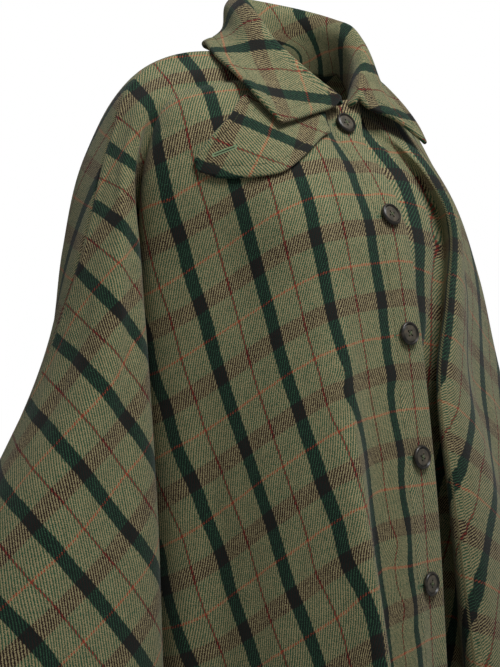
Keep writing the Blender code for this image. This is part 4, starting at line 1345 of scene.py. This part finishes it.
def collar_stitch_spots():
    """Round the collar's leaf, a little in from its edge: front end, outer edge, front end."""
    rows, columns = collar.shape[:2]
    from_foot = distance_in(collar, ("foot",))
    from_ends = distance_in(collar, ("first", "last"))[-1]
    ends = {"first": slice(0, columns // 4), "last": slice(columns - 1, 3 * columns // 4, -1)}
    sides = []
    for end, span in ends.items():
        lines = [(r, span) for r in range(roll_row + 6, rows) if from_foot[r, span][0] > COLLAR_STITCH]
        sides.append((distance_in(collar, (end,)), lines))
    lines = [(slice(rows - 1, roll_row, -1), c) for c in range(columns) if from_ends[c] > COLLAR_STITCH]
    sides.append((from_foot, lines))
    spots = []
    for inset, lines in sides:
        spots += stitch_spots(*inset_points(collar_face, collar_out, inset, COLLAR_STITCH, lines))
    return spots


def tab_stitch_spots():
    """Along both long edges of the tab and round its point."""
    rows, columns = tab.shape[:2]
    tall = distance_in(tab, ("top",))[-1]
    wide = [c for c in range(4, columns) if tall[c] > 2.1 * TAB_STITCH]
    lines = [(slice(0, rows // 2 + 1), c) for c in wide]
    upper = inset_points(tab_face, tab_out, tab_inset, TAB_STITCH, lines)
    lines = [(slice(rows - 1, rows // 2 - 1, -1), c) for c in wide[::-1]]
    lower = inset_points(tab_face, tab_out, tab_inset, TAB_STITCH, lines)
    return stitch_spots(upper[0] + lower[0], upper[1] + lower[1])


def flat_finder(face, flat):
    """A finder of places on a piece by its flat coordinates: it gives the point and the outward direction."""
    triangles = grid_triangles(*face.shape[:2])
    sheet = np.concatenate([flat.reshape(-1, 2), np.zeros((flat[..., 0].size, 1))], 1)
    tree = BVHTree.FromPolygons(sheet.tolist(), triangles.tolist())
    points = face.reshape(-1, 3)
    normals = face_normals(face).reshape(-1, 3)

    def find(across, down):
        place, _, index, _ = tree.ray_cast(Vector((across, down, 1)), Vector((0, 0, -1)))
        if place is None:
            return None
        corner = triangles[index]
        a, b, c = sheet[corner][:, :2]
        s, t = np.linalg.solve(np.stack([b - a, c - a], 1), np.array(place[:2]) - a)
        share = np.array([1 - s - t, s, t])
        return share @ points[corner], unit(share @ normals[corner])

    return find


on_right = flat_finder(right_face, flats["front_right"])
PLACKET_LINE = -0.018     # the placket's stitching, across from the centre line
PLACKET_RUNS = np.arange(0.02, 0.75, 0.006)
HEM_LINE = 0.022          # the hem's stitching, up from the hem


def placket_spots():
    found = [on_right(PLACKET_LINE, BROWN_AT_NECK - run) for run in PLACKET_RUNS]
    found = [spot for spot in found if spot]
    return stitch_spots([place for place, _ in found], [side for _, side in found])


def hem_spots(face):
    out = face_normals(face)
    path = [at_run(face[::-1, c], HEM_LINE) for c in range(1, face.shape[1] - 1)]
    return stitch_spots(path, out[-4, 1:-1], HEM_PITCH)


RIDGE_EDGE = 14           # the coarse column on the left front's ridge


def ridge_spots():
    """Slanting stitches close together along the left front's ridge."""
    column = RIDGE_EDGE * COLUMN_FINENESS
    rows = np.flatnonzero((DROPS > 0.12) & (DROPS < DROPS[-1] - 0.03))
    spots = stitch_spots(left_face[rows, column], face_normals(left_face)[rows, column], OVERCAST_PITCH)
    return [(place, unit(onward) + OVERCAST_SLANT * unit(np.cross(side, onward)), side)
            for place, onward, side in spots]


stitch = make_capsule("unit_stitch", 0.0029, 0.0008, 0.0006)
overcast = make_capsule("unit_overcast", 0.0044, 0.0013, 0.0009)
collar_sewing = repeated("collar_topstitch", collar_stitch_spots(), stitch, sewing_thread)
tab_sewing = repeated("tab_topstitch", tab_stitch_spots(), stitch, sewing_thread)
placket_sewing = repeated("placket_topstitch", placket_spots(), stitch, sewing_thread)
right_hem = repeated("right_hem_stitch", hem_spots(right_face), stitch, sewing_thread)
left_hem = repeated("left_hem_stitch", hem_spots(left_face), stitch, sewing_thread)
back_hem = repeated("back_hem_stitch", hem_spots(back_face), stitch, sewing_thread)
ridge_sewing = repeated("ridge_overcast", ridge_spots(), overcast, overcast_thread)
bpy.data.objects.remove(stitch)
bpy.data.objects.remove(overcast)

# %% [markdown]
# Buttons and buttonholes. A button is turned from one profile, with a raised rim and four drilled holes, and
# crossed thread holds it. A buttonhole is a slit, drawn as a near-black capsule of painted shadow, with
# thread worked close round it, ending in a fan.

# %% Buttonholes
BUTTON_FIRST = 0.018
BUTTON_PITCH = 0.1172
BUTTON_COUNT = 5
HOLE_LEFT = -0.0185
HOLE_RIGHT = 0.0030
HOLE_THREAD_PITCH = 0.00085
HOLE_BAND = 0.0011
HOLE_FAN = np.linspace(math.radians(100), math.radians(260), 9)


def hole_spots(start, end, outward):
    """Thread spots round a slit between two points: along both sides and in a fan round the start."""
    onward = unit(end - start)
    aside = unit(np.cross(outward, onward))
    length = np.linalg.norm(end - start)
    spots = []
    for run in np.arange(0, length, HOLE_THREAD_PITCH):
        for side in (-1, 1):
            spots.append((start + onward * run + aside * side * HOLE_BAND, aside, outward))
    for angle in HOLE_FAN:
        ray_out = onward * math.cos(angle) + aside * math.sin(angle)
        spots.append((start + ray_out * HOLE_BAND * 1.1, ray_out, outward))
    return spots


# Each slit is a thin near-black capsule of painted shadow, laid on the cloth where the cut opens.
slit = make_capsule("unit_slit", 0.0215, 0.0008, 0.0006)
whip = make_capsule("unit_whip", 0.0019, 0.0008, 0.0007)
front_spots, slit_spots = [], []
for k in range(BUTTON_COUNT):
    down = BROWN_AT_NECK - BUTTON_FIRST - k * BUTTON_PITCH
    (start, side), (end, _) = on_right(HOLE_LEFT, down), on_right(HOLE_RIGHT, down)
    front_spots += hole_spots(start, end, side)
    slit_spots.append(((start + end) / 2 + side * 0.0003, end - start, side))
front_holes = repeated("front_buttonhole_thread", front_spots, whip, hole_thread)
front_slits = repeated("front_buttonhole_slits", slit_spots, slit, slit_painted_shadow, 0.0)
found = [seen_on(tab_face, x, y) for x, y in ((214, 155), (235, 147))]
ends = [np.asarray(shares) @ tab_face.reshape(-1, 3)[corner] for corner, shares in found]
side = unit(tab_out.reshape(-1, 3)[found[0][0][0]])
tab_spots = hole_spots(*ends, side) + hole_spots(*ends[::-1], side)
tab_holes = repeated("tab_buttonhole_thread", tab_spots, whip, tab_thread)
tab_slit_spots = [(sum(ends) / 2 + side * 0.0002, ends[1] - ends[0], side)]
tab_slit = repeated("tab_buttonhole_slit", tab_slit_spots, slit, slit_painted_shadow, 0.0)
bpy.data.objects.remove(slit)
bpy.data.objects.remove(whip)

# %% Buttons
BUTTON_STAND_OFF = 0.0010
BUTTON_PROFILE = [(0.0060, 0.0032), (0.0080, 0.0032), (0.0086, 0.0028), (0.0091, 0.0036), (0.0098, 0.0043),
                  (0.0106, 0.0041), (0.0112, 0.0032), (0.0115, 0.0022), (0.0112, 0.0010), (0.0102, 0.0002)]
BUTTON_FACE = 0.0082      # the paler middle of a button ends here
BUTTON_HOLE = 0.0020
BUTTON_HOLE_SPREAD = 0.0042
BUTTON_SEGMENTS = 40
BUTTON_TURNS = [0.25 * k - 0.3 for k in range(BUTTON_COUNT)]
STRAND_HEIGHT = 0.0034    # the first strand of a button's thread, above the button's back
STRAND_OVER = 0.0003      # how much higher the second crosses it


def make_horn(name, deep, pale):
    """Dark horn: brown-black with paler clouds and a soft shine."""
    material, tree, shader = new_material(name)
    where = tree.nodes.new("ShaderNodeTexCoord")
    noise = tree.nodes.new("ShaderNodeTexNoise")
    fill(tree, noise, {"Scale": 190.0, "Detail": 3.0, "Vector": where.outputs["Object"]})
    clouds = soft_step(tree, noise.outputs["Fac"], 0.35, 0.72)
    fill(tree, shader, {"Base Color": blend(tree, clouds, deep, pale), "Roughness": 0.36})
    return material


def button_mesh():
    """A four-hole button about the z axis, with its back at z 0."""
    mesh = bmesh.new()
    rings = []
    for radius, height in BUTTON_PROFILE:
        turn = [2 * math.pi * k / BUTTON_SEGMENTS for k in range(BUTTON_SEGMENTS)]
        rings.append([mesh.verts.new((radius * math.cos(a), radius * math.sin(a), height)) for a in turn])
    for upper, lower in zip(rings, rings[1:]):
        for k in range(BUTTON_SEGMENTS):
            n = (k + 1) % BUTTON_SEGMENTS
            mesh.faces.new([upper[k], lower[k], lower[n], upper[n]])
    mesh.faces.new(rings[0])
    mesh.faces.new(rings[-1][::-1])
    solid = add_object("button_disc", to_data(mesh, "button_disc"))
    drills = bmesh.new()
    for x, y in ((1, 1), (-1, 1), (-1, -1), (1, -1)):
        drill = bmesh.ops.create_cone(drills, cap_ends=True, segments=14, radius1=BUTTON_HOLE / 2,
                                      radius2=BUTTON_HOLE / 2, depth=0.02)
        bmesh.ops.translate(drills, verts=drill["verts"],
                            vec=(x * BUTTON_HOLE_SPREAD / 2, y * BUTTON_HOLE_SPREAD / 2, 0))
    cutter = add_object("button_drills", to_data(drills, "button_drills"))
    cut = solid.modifiers.new("drill", "BOOLEAN")
    cut.object = cutter
    graph = bpy.context.evaluated_depsgraph_get()
    mesh = bpy.data.meshes.new_from_object(solid.evaluated_get(graph))
    for made in (solid, cutter):
        bpy.data.objects.remove(made)
    mesh.shade_smooth()
    mesh.set_sharp_from_angle(angle=math.radians(50))
    return mesh


button_data = button_mesh()
button_data.materials.clear()
button_data.materials.append(make_horn("dark_horn", colour(30, 29, 26), colour(66, 60, 52)))
button_data.materials.append(make_horn("horn_face", colour(72, 69, 60), colour(104, 94, 80)))
for face in button_data.polygons:
    in_face = math.hypot(face.center.x, face.center.y) < BUTTON_FACE and face.normal.z > 0.7
    face.material_index = 1 if in_face else 0
centre_line = form[:, CENTRE_FRONT]
centre_out = face_normals(form)[:, CENTRE_FRONT]
thread_spots = []
for k in range(BUTTON_COUNT):
    run = BUTTON_FIRST + k * BUTTON_PITCH
    outward = unit(read_off(run, runs_along(centre_line), centre_out))
    place = at_run(centre_line, run) + outward * BUTTON_STAND_OFF
    z = Vector(outward)
    turn = turned(TO_RIGHT, outward) @ Matrix.Rotation(BUTTON_TURNS[k], 3, "Z")
    mesh = button_data.copy()
    mesh.transform(Matrix.Translation(Vector(place)) @ turn.to_4x4())
    piece = add_object(f"horn_button_{k + 1}", mesh)
    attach(piece, "root")
    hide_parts(f"button_{k + 1}")
    for crossing, angle in enumerate((math.pi / 4, 3 * math.pi / 4)):
        onward = turn @ Vector((math.cos(angle), math.sin(angle), 0))
        thread_spots.append((Vector(place) + z * (STRAND_HEIGHT + STRAND_OVER * crossing), onward, z))
bpy.data.meshes.remove(button_data)
strand = make_capsule("unit_strand", 0.0064, 0.0008, 0.0009)
button_thread = repeated("button_thread", thread_spots, strand, button_strand, 0.05)
bpy.data.objects.remove(strand)

# %% [markdown]
# Each cloth piece now takes the place of the solid it stands for, which is hidden.

# %% Put the cloth in place of the solids
declare_cloth(right_piece, "front_right")
declare_cloth(left_piece, "front_left")
declare_cloth(back_piece, "back")
declare_cloth(collar_piece, "collar")
declare_cloth(tab_piece, "throat_tab")

# %% [markdown]
# The light is a large soft panel up on the right, a weak one on the left, and a white surround. The floor is
# far below, as under a cape that is worn.

# %% Light and floor
LIGHT_AIM = Vector((0, 0, -0.3))


def panel_light(name, place, size, power):
    light = bpy.data.lights.new(name, "AREA")
    light.shape = "DISK"
    light.size = size
    light.energy = power
    made = add_object(name, light)
    made.location = place
    made.rotation_mode = "QUATERNION"
    made.rotation_quaternion = (Vector(place) - LIGHT_AIM).to_track_quat("Z", "Y")


panel_light("key", TO_CAMERA * 0.85 + TO_RIGHT * 0.6 + UP * 1.2, size=0.9, power=24)
panel_light("fill", TO_CAMERA * 1.6 - TO_RIGHT * 1.6 + UP * 0.4, size=1.6, power=2)
SURROUND = 0.18           # how strongly the surround lights the cape
WHITE = (1, 1, 1, 1)

world = bpy.data.worlds.new("white_surround")
world.use_nodes = True
bpy.context.scene.world = world
tree = world.node_tree
shown = tree.nodes.new("ShaderNodeBackground")
fill(tree, shown, {"Strength": 1.0, "Color": WHITE})
lighting = tree.nodes["Background"]
fill(tree, lighting, {"Strength": SURROUND, "Color": WHITE})
ray = tree.nodes.new("ShaderNodeLightPath")
choice = tree.nodes.new("ShaderNodeMixShader")
tree.links.new(ray.outputs["Is Camera Ray"], choice.inputs[0])
tree.links.new(lighting.outputs[0], choice.inputs[1])
tree.links.new(shown.outputs[0], choice.inputs[2])
tree.links.new(choice.outputs[0], tree.nodes["World Output"].inputs[0])

FLOOR_DROP = -1.45
FLOOR_RADIUS = 3.0
mesh = bmesh.new()
bmesh.ops.create_circle(mesh, cap_ends=True, segments=64, radius=FLOOR_RADIUS)
bmesh.ops.translate(mesh, verts=mesh.verts, vec=(0, 0, FLOOR_DROP))
floor = add_object("floor", to_data(mesh, "floor"))
pale, tree, shader = new_material("pale_floor")
fill(tree, shader, {"Base Color": (0.8, 0.8, 0.8, 1)})
floor.data.materials.append(pale)
